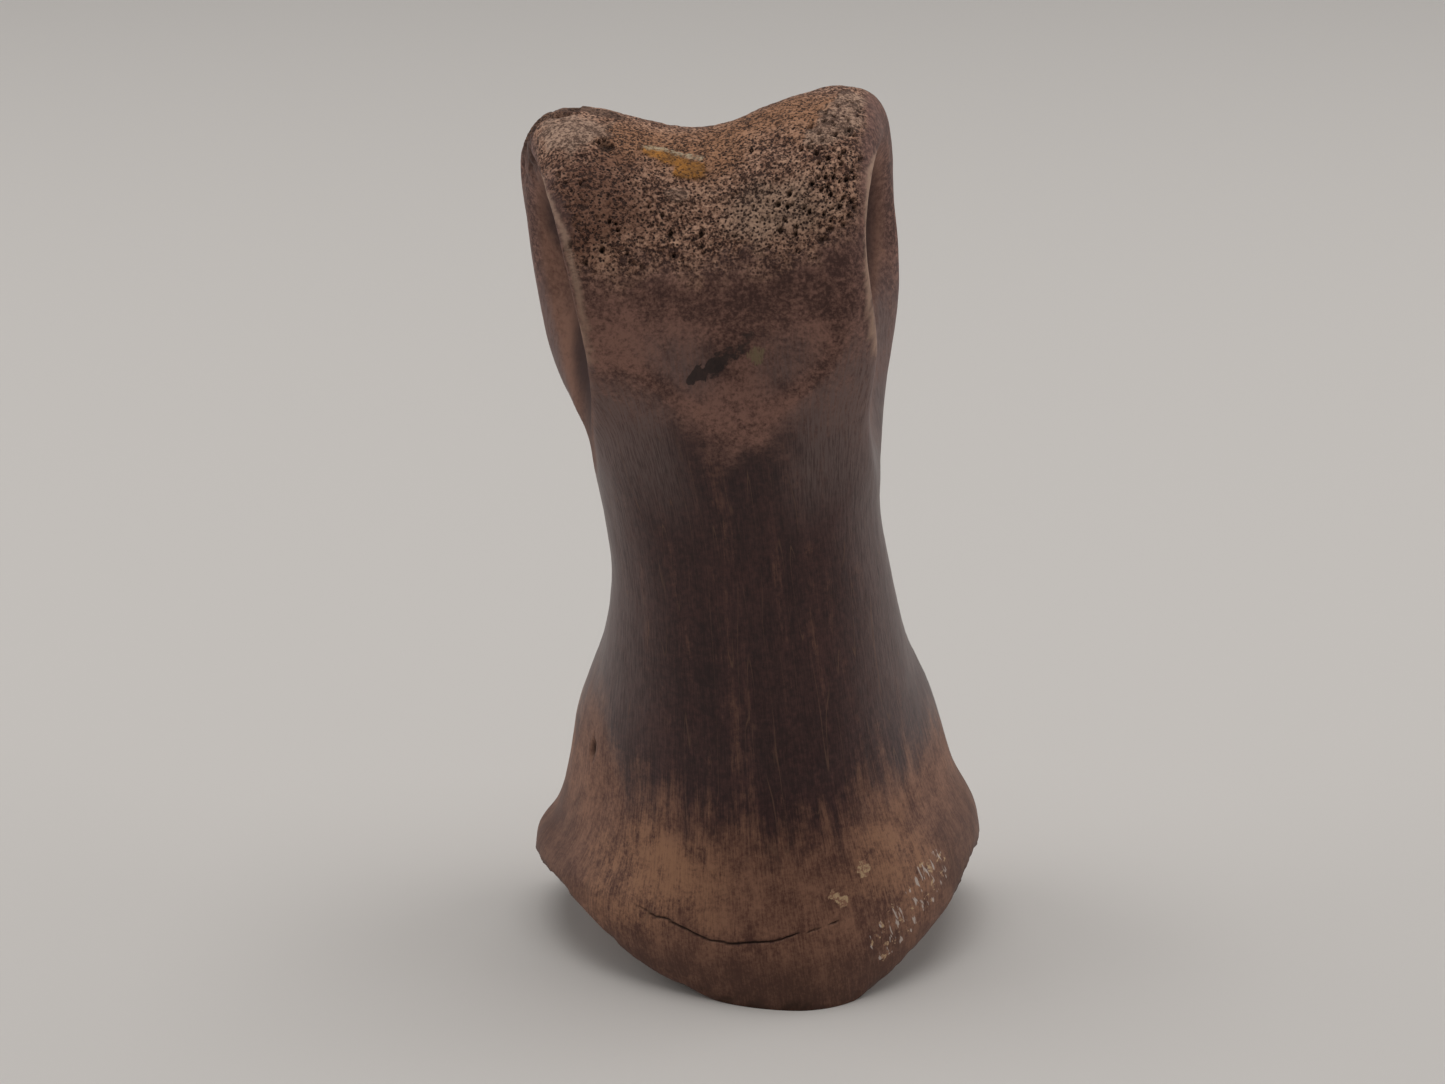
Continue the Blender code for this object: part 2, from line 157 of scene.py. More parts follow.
def roller_frame(x, y, z):
    """Coordinates along the roller's tilted axis, towards the back, and up from it."""
    dx, dy, dz = x - ROLLER_CENTRE[0], y - ROLLER_CENTRE[1], z - ROLLER_CENTRE[2]
    along = dx * math.cos(ROLLER_TILT) + dz * math.sin(ROLLER_TILT)
    up = dz * math.cos(ROLLER_TILT) - dx * math.sin(ROLLER_TILT)
    return along, dy, up


def side_faces(x, y, z):
    """Distance outside the left and the right side face."""
    along, dy, up = roller_frame(x, y, z)
    left, right = side_limits(dy, up)
    return -along - left, along - right


def drum(x, y, z):
    """Distance from the axis less the radius, with a bell-shaped groove and, at the worn left
    end, a shoulder that falls away as the square of the way past its start."""
    along, dy, up = roller_frame(x, y, z)
    groove = GROOVE_DEPTH * (1.0 + GROOVE_GAIN * np.sin(np.arctan2(dy, up)))
    shoulder = SHOULDER_FALL * np.maximum(-along - SHOULDER_AT, 0.0) ** 2
    return np.hypot(dy, up) - ROLLER_RADIUS + groove * bell(along, GROOVE_AT, GROOVE_WIDTH) + shoulder


def roller(x, y, z):
    """The grooved drum, cut by its side faces with a rounding of its own at each."""
    left, right = side_faces(x, y, z)
    return blend_max(blend_max(drum(x, y, z), left, ROLLER_EDGE_LEFT), right, ROLLER_EDGE_RIGHT)


# The hollows in the roller's sides, where ligaments were rooted, the hollow on the front above
# the shaft, and the two knobs at the back corners of the near end. Sizes here are in mm.

LEFT_HOLLOWS = (
    ((-3.0, 52.0), (8.8, 9.8), 5.0),
    ((-3.6, 53.0), (5.0, 6.2), 5.4),
    ((-2.4, 44.0), (6.2, 8.2), 1.3),
)
RIGHT_HOLLOWS = (
    ((-2.6, 55.8), (7.6, 7.2), 4.6),
    ((-2.4, 46.5), (5.2, 6.5), 1.0),
)
HOLLOW_EDGE = 0.9 * MM
HOLLOW_JOIN = 2.5 * MM
NO_HOLLOW = 10.0 * MM
FRONT_HOLLOW_AT = MM * np.array((-1.8, 49.0))
FRONT_HOLLOW_SIZE = MM * np.array((8.4, 6.0))
FRONT_HOLLOW_DEPTH = 4.5 * MM
FRONT_HOLLOW_START = -13.8 * MM
FRONT_HOLLOW_TAPER = 0.06
FRONT_HOLLOW_EDGE = 1.8 * MM
HOLLOWS_ABOVE = 30.0 * MM
KNOBS = (
    ((-10.8, 5.0, 13.0), (2.6, 4.4, 6.6)),
    ((10.9, 5.5, 13.4), (2.6, 4.4, 6.4)),
)
KNOB_BLEND = 3.5 * MM


def knob(x, y, z, centre, half_sizes):
    """Ellipsoid: distance in half sizes from its centre, less one."""
    parts = zip((x, y, z), centre, half_sizes)
    squares = sum(((value / MM - middle) / half) ** 2 for value, middle, half in parts)
    return (np.sqrt(squares) - 1.0) * min(half_sizes) * MM


def side_wall(x, y, z):
    """Shaft and flare with the two knobs blended on."""
    solid = shaft(x, y, z)
    for centre, half_sizes in KNOBS:
        solid = blend_min(solid, knob(x, y, z, centre, half_sizes), KNOB_BLEND)
    return solid


def bowls(y, z, hollows):
    """Depth below a side face: paraboloids 1 - (dy/half)^2 - (dz/half)^2, joined softly."""
    deepest = -NO_HOLLOW
    for (middle_y, middle_z), (half_y, half_z), deep in hollows:
        squares = ((y / MM - middle_y) / half_y) ** 2 + ((z / MM - middle_z) / half_z) ** 2
        deepest = blend_max(deep * MM * (1.0 - squares), deepest, HOLLOW_JOIN)
    return deepest


def front_hollow(x, z):
    """Depth of the front hollow: a bell in x and in z whose width grows with height."""
    rise = z - FRONT_HOLLOW_AT[1]
    width = FRONT_HOLLOW_SIZE[0] * np.exp(FRONT_HOLLOW_TAPER * rise / MM)
    across = bell(x, FRONT_HOLLOW_AT[0], width)
    return FRONT_HOLLOW_DEPTH * across * bell(rise, 0.0, FRONT_HOLLOW_SIZE[1])


# The joint face underneath, which sat on the bone before it: an arch from front to back that
# carries two shallow cups. The bone stands on the lip in front and the two heels behind.

FACE_MIDDLE = MM * np.array((2.0, 2.0))
FACE_FRONT = 16.0 * MM
FACE_BACK = 10.3 * MM
FACE_FRONT_CURVE = 1.3
FACE_BACK_CURVE = 2.2
FACE_LIMIT = 1.3
FACE_RISE = 3.7 * MM
FACE_CUP = 1.3 * MM
FACE_CUP_AT = 8.0 * MM
FACE_CUP_WIDTH = 4.0 * MM
FACE_WING = 2.2 * MM
FACE_WING_AT = 12.5 * MM
FACE_WING_RUN = 1.6 * MM
FACE_NOTCH = 1.3 * MM
FACE_NOTCH_WIDTH = 3.4 * MM
FACE_LIP_MIDDLE = 0.6 * MM
FACE_LIP_FLAT = 7.2 * MM
FACE_LIP_CLIMB = 0.08 / MM
FACE_CHIP = 1.6 * MM
FACE_CHIP_AT = 15.5 * MM
FACE_CHIP_RUN = 0.4 * MM
FACE_DROP = 0.8 * MM
FACE_EDGE = 0.9 * MM


def joint_face(x, y):
    """Height of the face: (rise + cups + wings) times an arch in y, plus a notch behind, the
    square climb beside the flat lip, and a step up where the right tip is chipped off."""
    ahead = y < FACE_MIDDLE[1]
    reach = np.abs(y - FACE_MIDDLE[1]) / np.where(ahead, FACE_FRONT, FACE_BACK)
    arch = 1.0 - np.clip(reach, 0.0, FACE_LIMIT) ** np.where(ahead, FACE_FRONT_CURVE, FACE_BACK_CURVE)
    side = np.abs(x - FACE_MIDDLE[0])
    cups = FACE_CUP * bell(side, FACE_CUP_AT, FACE_CUP_WIDTH)
    wings = FACE_WING / (1.0 + np.exp((FACE_WING_AT - side) / FACE_WING_RUN))
    notch = FACE_NOTCH * np.clip(reach, 0.0, 1.0) * bell(side, 0.0, FACE_NOTCH_WIDTH) * ~ahead
    beyond_lip = np.maximum(np.abs(x - FACE_LIP_MIDDLE) - FACE_LIP_FLAT, 0.0)
    climb = FACE_LIP_CLIMB * beyond_lip ** 2 * (1.0 - arch) * ahead
    chip = FACE_CHIP * 0.5 * (1.0 + np.tanh((x - FACE_CHIP_AT) / (2.0 * FACE_CHIP_RUN)))
    return (FACE_RISE + cups + wings) * arch + notch + climb + chip - FACE_DROP


def full_bone(x, y, z):
    """Side wall and roller joined, the front hollow and joint face cut, feet worn flat."""
    solid = blend_min(side_wall(x, y, z), roller(x, y, z), ROLLER_BLEND)
    front = FRONT_HOLLOW_START + front_hollow(x, z) - y
    solid = np.where(z > HOLLOWS_ABOVE, blend_max(solid, front, FRONT_HOLLOW_EDGE), solid)
    solid = blend_max(solid, joint_face(x, y) - z, FACE_EDGE)
    return np.maximum(solid, -z)


def dug_faces(x, y, z):
    """The two side faces with the depths of their hollows added."""
    left, right = side_faces(x, y, z)
    return left + bowls(y, z, LEFT_HOLLOWS), right + bowls(y, z, RIGHT_HOLLOWS)


def bone(x, y, z):
    """The full bone with the side hollows pressed into the roller's flanks."""
    solid = full_bone(x, y, z)
    left, right = dug_faces(x, y, z)
    pressed = blend_max(blend_max(solid, left, HOLLOW_EDGE), right, HOLLOW_EDGE)
    return np.where(z > HOLLOWS_ABOVE, pressed, solid)


# The skin of the bone, one closed mesh made of two sheets. A tube of rings covers the joint
# face, the flare, the shaft and the flanks. A fine patch covers the roller's open-pored drum.

BOX_MIDDLE = MM * np.array((-0.06, -0.44, 0.0))
LOW_POINT = 11.0 * MM
LOW_CENTRE = np.array((float(through(KEEL_AT, LOW_POINT)), 0.0, LOW_POINT))
NECK_FROM = 34.0 * MM
PLACES = 4.0
TUBE_COLUMNS = (80, 74, 50, 74)
CORNERS = np.radians((-145.0, -32.0, 35.0, 144.0, 215.0))
ROWS_FACE = 26
FACE_CROWDING = 1.4
ROWS_SHAFT = 42
ROWS_NECK = 62
PATCH_COLUMNS = 196
PATCH_ROWS_FINE = 206
PATCH_ROWS_BEHIND = 56
PATCH_FINE_SHARE = 0.66
FRONT_TURN = math.radians(-88.0)
BACK_TURN = math.radians(80.0)
TURN_CROWN = math.radians(20.0)
ARM = 7.5 * MM
EDGE_SHARE = 0.12
EDGE_LEAN = math.radians(60.0)
EDGE_INSET = 3.0 * MM
ALONG_ROLLER = np.array((math.cos(ROLLER_TILT), 0.0, math.sin(ROLLER_TILT)))
UP_ROLLER = np.array((-math.sin(ROLLER_TILT), 0.0, math.cos(ROLLER_TILT)))
BACKWARD = np.array((0.0, 1.0, 0.0))
REACH = 30.0 * MM
STRIDES = 50
DRUM_REACH = 14.0 * MM
FEW_STRIDES = 40
HALVINGS = 17
PITCH_HALVINGS = 20
SLOPE_STEP = 0.03 * MM
SINKING_STEPS = 6
SETTLING_STEPS = 8

# Line of the drying crack across the front of the flare, as (x, z) in mm, and the heights of
# the mesh's rings around it and between it and the rim.
CRACK = np.array(
    [(-10.3, 6.9), (-8.8, 6.5), (-7.5, 6.1), (-6.3, 5.9), (-5.1, 5.5), (-4.1, 5.2), (-2.8, 5.1),
     (-1.7, 5.1), (-0.5, 5.2), (0.9, 5.4), (2.0, 5.7), (3.1, 5.9), (4.6, 6.2), (6.8, 6.7)])
CRACK_RINGS = (-0.75, -0.5, -0.3, -0.16, -0.08, 0.0, 0.08, 0.16, 0.3, 0.5, 0.75)
ROWS_UNDER_CRACK = 13
ROWS_OVER_CRACK = 11


def crossing(origins, directions, field, reach=REACH, strides=STRIDES):
    """Where rays leave the field: stride out to the first point outside, then halve the gap."""
    inner = np.zeros(origins.shape[:-1])
    outer = np.full_like(inner, reach)
    left_bone = np.zeros(inner.shape, bool)
    for stride in range(1, strides + 1):
        distance = reach * stride / strides
        outside = field(*np.moveaxis(origins + directions * distance, -1, 0)) > 0.0
        first = outside & ~left_bone
        outer[first] = distance
        inner[first] = distance - reach / strides
        left_bone |= first
    for _ in range(HALVINGS):
        middle = (inner + outer) / 2.0
        outside = field(*np.moveaxis(origins + directions * middle[..., None], -1, 0)) > 0.0
        outer = np.where(outside, middle, outer)
        inner = np.where(outside, inner, middle)
    return origins + directions * ((inner + outer) / 2.0)[..., None]


def slopes(points, field):
    """Gradient of the field: central differences along each axis."""
    rises = []
    for shift in np.eye(3) * SLOPE_STEP:
        ahead = field(*np.moveaxis(points + shift, -1, 0))
        behind = field(*np.moveaxis(points - shift, -1, 0))
        rises.append((ahead - behind) / (2.0 * SLOPE_STEP))
    return np.stack(rises, -1)


def outward(points, field):
    """Unit normals: the field's gradient made one long."""
    rises = slopes(points, field)
    return rises / np.linalg.norm(rises, axis=-1, keepdims=True)


def press_in(points):
    """Points of the full bone moved to the hollowed one: sunk along the roller's axis to the
    hollows' floors, then settled by Newton steps, the field times its slope over slope squared."""
    for _ in range(SINKING_STEPS):
        left, right = dug_faces(*np.moveaxis(points, -1, 0))
        sunk = (np.maximum(left, 0.0) - np.maximum(right, 0.0)) * (points[..., 2] > HOLLOWS_ABOVE)
        points = points + sunk[..., None] * ALONG_ROLLER
    for _ in range(SETTLING_STEPS):
        slope = slopes(points, bone)
        off = bone(*np.moveaxis(points, -1, 0)) / (slope ** 2).sum(-1)
        points = points - off[..., None] * slope
    return points


def aims(around, pitch):
    """Unit directions for angles round the bone and pitches above the horizon."""
    level = np.cos(pitch)
    return np.stack((level * np.cos(around), level * np.sin(around), np.sin(pitch)), -1)


def pitch_where(around, is_above):
    """Pitch from the low centre at which a test turns true, found by halving for each direction."""
    low = np.full(around.shape, -math.pi / 2.0)
    high = np.zeros(around.shape)
    start = np.broadcast_to(LOW_CENTRE, around.shape + (3,))
    for _ in range(PITCH_HALVINGS):
        middle = (low + high) / 2.0
        points = crossing(start, aims(around, middle), full_bone, strides=FEW_STRIDES)
        above = is_above(*points.T)
        high = np.where(above, middle, high)
        low = np.where(above, low, middle)
    return (low + high) / 2.0


def on_wall(x, y, z):
    """True where a point belongs to the side wall and not to the joint face."""
    return side_wall(x, y, z) > np.maximum(joint_face(x, y), 0.0) - z


def crack_height(x):
    """Height of the crack's line over each x, level beyond its ends."""
    return MM * through(CRACK, (x - BOX_MIDDLE[0]) / MM)


def roller_rays(across, share):
    """Starts and directions over the drum: a straight middle and quarter-round ends, left to right.

    The turn about the axis runs from front to back and reaches further at mid-width."""
    crown = TURN_CROWN * (1.0 - (2.0 * across - 1.0) ** 2)
    turn = (FRONT_TURN - crown) * (1.0 - share) + (BACK_TURN + crown) * share
    radial = np.sin(turn)[..., None] * BACKWARD + np.cos(turn)[..., None] * UP_ROLLER
    left, right = side_limits(ROLLER_RADIUS * np.sin(turn), ROLLER_RADIUS * np.cos(turn))
    middle = np.clip((across - EDGE_SHARE) / (1.0 - 2.0 * EDGE_SHARE), 0.0, 1.0)
    along = (EDGE_INSET - left) * (1.0 - middle) + (right - EDGE_INSET) * middle
    past_right = np.clip((across - 1.0 + EDGE_SHARE) / EDGE_SHARE, 0.0, 1.0)
    past_left = np.clip((EDGE_SHARE - across) / EDGE_SHARE, 0.0, 1.0)
    lean = EDGE_LEAN * (past_right - past_left)
    origins = ROLLER_CENTRE + along[..., None] * ALONG_ROLLER + ARM * radial
    directions = np.cos(lean)[..., None] * radial + np.sin(lean)[..., None] * ALONG_ROLLER
    return origins, directions


def patch_edge(place):
    """(across, share) for a place round the patch: 0 to 1 front, to 2 right, to 3 back, to 4 left."""
    side = np.clip(np.floor(place).astype(int), 0, 3)
    part = place - side
    across = np.choose(side, (part, np.ones_like(part), 1.0 - part, np.zeros_like(part)))
    share = np.choose(side, (np.zeros_like(part), part, np.ones_like(part), 1.0 - part))
    return across, share


def flare_pitches(around):
    """Rows of pitches from the joint face's pole out to its rim and up the flare to level."""
    rim = pitch_where(around, on_wall)
    under_crack, over_crack = [
        pitch_where(around, lambda x, y, z, lift=lift: z > crack_height(x) + lift * MM)
        for lift in (CRACK_RINGS[0], CRACK_RINGS[-1])]
    rows = []
    for step in range(1, ROWS_FACE + 1):
        share = 1.0 - (1.0 - step / ROWS_FACE) ** FACE_CROWDING
        rows.append(-np.arctan2(np.tan(-rim), share))
    for step in range(1, ROWS_UNDER_CRACK):
        rows.append(rim + (under_crack - rim) * step / ROWS_UNDER_CRACK)
    for lift in CRACK_RINGS:
        share = (lift - CRACK_RINGS[0]) / (CRACK_RINGS[-1] - CRACK_RINGS[0])
        rows.append(under_crack + (over_crack - under_crack) * share)
    for step in range(1, ROWS_OVER_CRACK + 1):
        rows.append(over_crack * (1.0 - step / ROWS_OVER_CRACK))
    return rows


def tube_points(places):
    """Rings of the tube: fans from the low centre, level rays up the shaft, then rays that turn
    from level towards those of the patch's edge as they climb the flanks."""
    around = np.interp(places, np.arange(PLACES + 1.0), CORNERS)
    level = aims(around, np.zeros(len(around)))
    origins = []
    directions = []
    for pitch in flare_pitches(around):
        origins.append(np.broadcast_to(LOW_CENTRE, level.shape))
        directions.append(aims(around, pitch))
    for step in range(1, ROWS_SHAFT + 1):
        height = LOW_POINT + (NECK_FROM - LOW_POINT) * step / ROWS_SHAFT
        origins.append(np.broadcast_to((float(through(KEEL_AT, height)), 0.0, height), level.shape))
        directions.append(level)
    waist = origins[-1]
    edge_origins, edge_directions = roller_rays(*patch_edge(places))
    for step in range(1, ROWS_NECK + 1):
        share = step / (ROWS_NECK + 0.5)
        turned = level + (edge_directions - level) * share
        origins.append(waist + (edge_origins - waist) * share)
        directions.append(turned / np.linalg.norm(turned, axis=-1, keepdims=True))
    rings = crossing(np.array(origins), np.array(directions), full_bone)
    rings[-ROWS_NECK:] = press_in(rings[-ROWS_NECK:])
    return rings


def patch_points():
    """Grid of the roller's patch, front to back by left to right, finer in front and on top."""
    fine = np.linspace(0.0, PATCH_FINE_SHARE, PATCH_ROWS_FINE, endpoint=False)
    behind = np.linspace(PATCH_FINE_SHARE, 1.0, PATCH_ROWS_BEHIND)
    shares = np.concatenate((fine, behind))
    share, across = np.meshgrid(shares, np.linspace(0.0, 1.0, PATCH_COLUMNS), indexing="ij")
    worn_drum = crossing(*roller_rays(across, share), full_bone, DRUM_REACH, FEW_STRIDES)
    return press_in(worn_drum), shares


def quad_triangles(corners):
    """Two triangles for each quad given by its four corner numbers, in order."""
    first, second, third, fourth = corners
    one = np.stack((first, second, third), -1).reshape(-1, 3)
    two = np.stack((first, third, fourth), -1).reshape(-1, 3)
    return np.vstack((one, two))


def strip_between(low, high, low_places, high_places):
    """Triangles between two closed loops of different counts, merged by their places round them."""
    low_middles = (low_places + np.append(low_places[1:], PLACES)) / 2.0
    high_middles = (high_places + np.append(high_places[1:], PLACES)) / 2.0
    high_here = high[np.searchsorted(high_middles, low_middles, side="left") % len(high)]
    low_here = low[np.searchsorted(low_middles, high_middles, side="right") % len(low)]
    up = np.stack((low, np.roll(low, -1), high_here), -1)
    down = np.stack((low_here, np.roll(high, -1), high), -1)
    return np.vstack((up, down))


def skin():
    """Points and triangles of the whole bone."""
    sides = [side + np.arange(count) / count for side, count in enumerate(TUBE_COLUMNS)]
    places = np.concatenate(sides)
    tube = tube_points(places)
    patch, shares = patch_points()
    pole = crossing(LOW_CENTRE[None], np.array([(0.0, 0.0, -1.0)]), full_bone)
    points = np.vstack((tube.reshape(-1, 3), pole, patch.reshape(-1, 3)))

    columns = len(places)
    column = np.arange(columns)
    after = (column + 1) % columns
    low = np.arange(len(tube) - 1)[:, None] * columns
    high = low + columns
    tube_faces = quad_triangles((low + column, low + after, high + after, high + column))
    pole_number = len(tube) * columns
    pole_fan = np.stack((np.full(columns, pole_number), after, column), -1)

    numbers = pole_number + 1 + np.arange(len(shares) * PATCH_COLUMNS).reshape(-1, PATCH_COLUMNS)
    corners = (numbers[:-1, :-1], numbers[:-1, 1:], numbers[1:, 1:], numbers[1:, :-1])
    patch_faces = quad_triangles(corners)
    across = np.linspace(0.0, 1.0, PATCH_COLUMNS)[:-1]
    edge = np.concatenate((numbers[0, :-1], numbers[:-1, -1], numbers[-1, :0:-1], numbers[:0:-1, 0]))
    edge_places = np.concatenate((across, 1.0 + shares[:-1], 2.0 + across, 4.0 - shares[:0:-1]))
    top_ring = pole_number - columns + column
    strip = strip_between(top_ring, edge, places, edge_places)
    return points, np.vstack((tube_faces, pole_fan, patch_faces, strip))


points, triangles = skin()
normals = outward(points, bone)


# Wear on the skin. Its outer layer is gone from the roller, which shows open pores in bone
# walls as thin as paper. The flare is cracked by drying, and its rim and corners are chipped.

BIT_MASK = np.uint64(0xFFFFFFFF)
CELL_FACTORS = np.array((374761393, 668265263, 1440662683), np.uint64)
SEED_FACTOR = 974711
MIXING = ((13, 1274126177), (16, 1911520717))
LAST_SHIFT = np.uint64(15)
LAYER_STRENGTH = 0.55
RAGGED_SIZE = 0.8


def chance(cells, seed):
    """Repeatable random numbers from 0 to 1 for whole-number cells, by mixing their bits."""
    bits = cells.astype(np.int64).astype(np.uint64)
    mixed = ((bits * CELL_FACTORS).sum(-1) + np.uint64(seed * SEED_FACTOR)) & BIT_MASK
    for shift, factor in MIXING:
        mixed = ((mixed ^ (mixed >> np.uint64(shift))) * np.uint64(factor)) & BIT_MASK
    return (mixed ^ (mixed >> LAST_SHIFT)) / float(BIT_MASK)


def drift(places, size, seed):
    """Smooth noise from -1 to 1: random numbers at the corners of cells, eased between them."""
    scaled = places / size
    base = np.floor(scaled)
    part = scaled - base
    ease = part ** 3 * (part * (part * 6.0 - 15.0) + 10.0)
    total = np.zeros(len(places))
    for corner in np.ndindex(2, 2, 2):
        weight = np.prod(np.where(corner, ease, 1.0 - ease), axis=-1)
        total += weight * chance(base + corner, seed)
    return 2.0 * total - 1.0


def layered(places, size, seed, layers=4):
    """Noise in layers, each with half the size and just over half the strength of the last."""
    total = np.zeros(len(places))
    for layer in range(layers):
        total += drift(places, size / 2.0 ** layer, seed + layer) * LAYER_STRENGTH ** layer
    return total


def scattered(places, spacing, seed):
    """Distance in spacings to the nearest of points scattered one to a cell, and its lot."""
    scaled = places / spacing
    base = np.floor(scaled)
    nearest = np.full(len(places), np.inf)
    lot = np.zeros(len(places))
    for shift in np.ndindex(3, 3, 3):
        cell = base + shift - 1.0
        centre = cell + np.stack([chance(cell, seed + axis) for axis in range(3)], -1)
        distance = np.linalg.norm(scaled - centre, axis=-1)
        closer = distance < nearest
        lot = np.where(closer, chance(cell, seed + 3), lot)
        nearest = np.where(closer, distance, nearest)
    return nearest, lot


def fade(start, end, value):
    """0 before the start and 1 past the end, eased between: the cubic 3t^2 - 2t^3."""
    share = np.clip((value - start) / (end - start), 0.0, 1.0)
    return share * share * (3.0 - 2.0 * share)


def spot(middle, half_sizes, ragged=0.0, seed=0, soft=0.25):
    """Soft-edged ellipsoid of influence round a middle, in mm, its edge shifted by noise."""
    distance = np.linalg.norm((place_mm - middle) / half_sizes, axis=-1)
    if ragged:
        distance = distance + ragged * layered(place_mm, min(half_sizes) * RAGGED_SIZE, seed)
    return fade(1.0 + soft, 1.0 - soft, distance)


def trail(places, radius, ragged=0.0, seed=0, soft=0.3):
    """Soft-edged tube of influence along a bent line, in mm, its edge shifted by noise."""
    distance = np.full(len(place_mm), np.inf)
    for start, end in zip(places[:-1], places[1:]):
        run = np.subtract(end, start)
        share = np.clip((place_mm - start) @ run / (run @ run), 0.0, 1.0)
        off = np.linalg.norm(place_mm - start - share[:, None] * run, axis=-1)
        distance = np.minimum(distance, off / radius)
    if ragged:
        distance = distance + ragged * layered(place_mm, radius, seed)
    return fade(1.0 + soft, 1.0 - soft, distance)


def strongest(*shares):
    """The largest of several shares at each point."""
    return np.maximum.reduce(shares)


place_mm = (points - BOX_MIDDLE) / MM
x_mm, y_mm, z_mm = place_mm.T
across_mm = np.abs(x_mm)
along_x = place_mm * (1.0, 0.0, 0.0)
_, behind_axis, above_axis = roller_frame(*points.T)
turn = np.degrees(np.arctan2(behind_axis, above_axis))
under_drum = -drum(*points.T) / MM
left_face, right_face = (face / MM for face in side_faces(*points.T))
round_bone = np.arctan2(y_mm, x_mm - through(KEEL_AT, points[:, 2]) / MM)

# Grain places follow the fibres of the bone: far apart round it, close together up it.
GRAIN_GIRTH = 11.0
GRAIN_SQUEEZE = 12.0
girth = GRAIN_GIRTH * np.stack((np.cos(round_bone), np.sin(round_bone)))
grain = np.stack((*girth, z_mm / GRAIN_SQUEEZE), -1)

# Open-pored zone: on the drum only, between a ragged edge in front, as (x, z) in mm, and one
# behind, as a turn in degrees. Beside each side face a bar of sound bone stays in front, given
# by its width and softness in mm.
SPONGY_EDGE = np.array([(-15, 55.6), (-11, 55.4), (-7, 55.6), (-3, 56.2),
                        (0, 56.5), (3, 57.4), (6, 58.0), (8, 60.5)])
SPONGY_RISE = (-1.6, 1.8)
SPONGY_SKIN = (1.3, 0.5)
SPONGY_BACK = 98.0
BACK_WAVES = 9.0
BARS = ((left_face, 1.4, 0.5), (right_face, 1.1, 0.4))
BAR_TURN = -42.0
TURN_SOFT = (8.0, -8.0)
edge_shift = layered(place_mm * (1.0, 1.0, 0.6), 1.8, 11) + 0.5 * layered(place_mm, 0.6, 12)
over_edge = z_mm - through(SPONGY_EDGE, x_mm) + 0.9 * edge_shift
spongy = fade(*SPONGY_SKIN, under_drum + 0.2 * edge_shift)
spongy = spongy * np.where(turn < 0.0, fade(*SPONGY_RISE, over_edge), 1.0)
spongy = spongy * fade(*TURN_SOFT, turn - SPONGY_BACK + BACK_WAVES * edge_shift)
bar = strongest(*(fade(-width - soft, soft - width, face + soft * edge_shift)
                  for face, width, soft in BARS))
spongy = spongy * (1.0 - bar * fade(*TURN_SOFT, turn - BAR_TURN))

# From here a spot is given by its middle and half sizes, a trail by its places and radius, all
# in mm, then both by how ragged their edge is, a seed and how soft the edge is.

# Sound bone and minerals that close the pores: a tan patch on the left condyle, a pale streak
# on the right one, an ochre crust with a cream rim, and a small pale lump.
TAN_PATCH = ((-13.6, -2.9, 64.0), (2.7, 2.9, 1.2), 0.30, 21)
PALE_STREAK = (((7.2, -0.4, 66.1), (6.3, -2.6, 65.7), (4.4, -5.3, 64.4)), 1.25, 0.45, 22)
OCHRE_TRAIL = (((-7.7, -4.0, 62.9), (-5.7, -4.7, 62.3), (-4.5, -5.2, 62.0)), 0.62, 0.35, 23, 0.2)
OCHRE_LOBE = ((-5.0, -5.4, 61.7), (1.1, 0.8, 0.6), 0.3, 24, 0.2)
CREAM_TRAIL = (
    ((-8.1, -3.8, 63.2), (-6.8, -3.6, 63.0), (-5.7, -4.0, 62.7), (-4.2, -4.3, 62.5)),
    0.22, 0.5, 25, 0.5)
PALE_LUMP = ((-5.9, -7.0, 60.4), (0.8, 0.8, 0.5), 0.3, 26, 0.4)
smooth_tan = spot(*TAN_PATCH)
pale_streak = trail(*PALE_STREAK)
pale_lump = 0.7 * spot(*PALE_LUMP)
ochre = strongest(trail(*OCHRE_TRAIL), spot(*OCHRE_LOBE))
cream = trail(*CREAM_TRAIL)
closed = strongest(0.9 * smooth_tan, 0.35 * pale_streak, 0.75 * ochre, cream, pale_lump)

# Fine pores crowd the middle. Wide ones, drawn out upwards, riddle the right condyle. Spacings
# are in mm, widths in spacings, and the more of the wide pores a place has, the wider they are.
FINE_PORES = 0.42
FINE_WIDTH = (0.5, 0.2)
WIDE_PORES = 0.52
WIDE_PORE_STRETCH = (1.0, 1.0, 0.7)
WIDE_WIDTH = 0.18
WIDE_GAIN = 0.22
WIDE_SOFT = 0.08
STRAY_PORES = 0.02
RIDDLED = (
    ((7.8, -1.2, 65.4), (6.2, -5.5, 64.0), (5.4, -8.0, 61.8), (2.9, -9.8, 58.4)),
    2.4, 0.3, 42, 0.35)
PORED_CREST = ((-11.4, -4.0, 63.4), (1.4, 1.6, 1.0), 0.2, 43, 0.3)
PORED_LEFT = ((-8.2, -8.9, 58.4), (3.8, 2.0, 1.9), 0.3, 44, 0.4)
DARK_HOLE = ((-10.9, -4.4, 63.4), (0.52, 0.45, 0.42), 0.25, 45, 0.4)
fine_near, fine_lot = scattered(place_mm, FINE_PORES, 31)
fine_pores = fade(*FINE_WIDTH, fine_near + 0.3 * fine_lot) * spongy * (1.0 - 0.85 * closed)
wide_near, wide_lot = scattered(place_mm * WIDE_PORE_STRETCH, WIDE_PORES, 41)
wide_share = strongest(0.85 * trail(*RIDDLED), 0.5 * spot(*PORED_CREST), 0.2 * spot(*PORED_LEFT))
wide_share = STRAY_PORES + wide_share
wide_width = WIDE_WIDTH + WIDE_GAIN * np.clip(1.0 - wide_lot / wide_share, 0.0, 1.0)
wide_pores = fade(wide_width + WIDE_SOFT, wide_width - WIDE_SOFT, wide_near)
wide_pores = wide_pores * (wide_lot < wide_share) * spongy
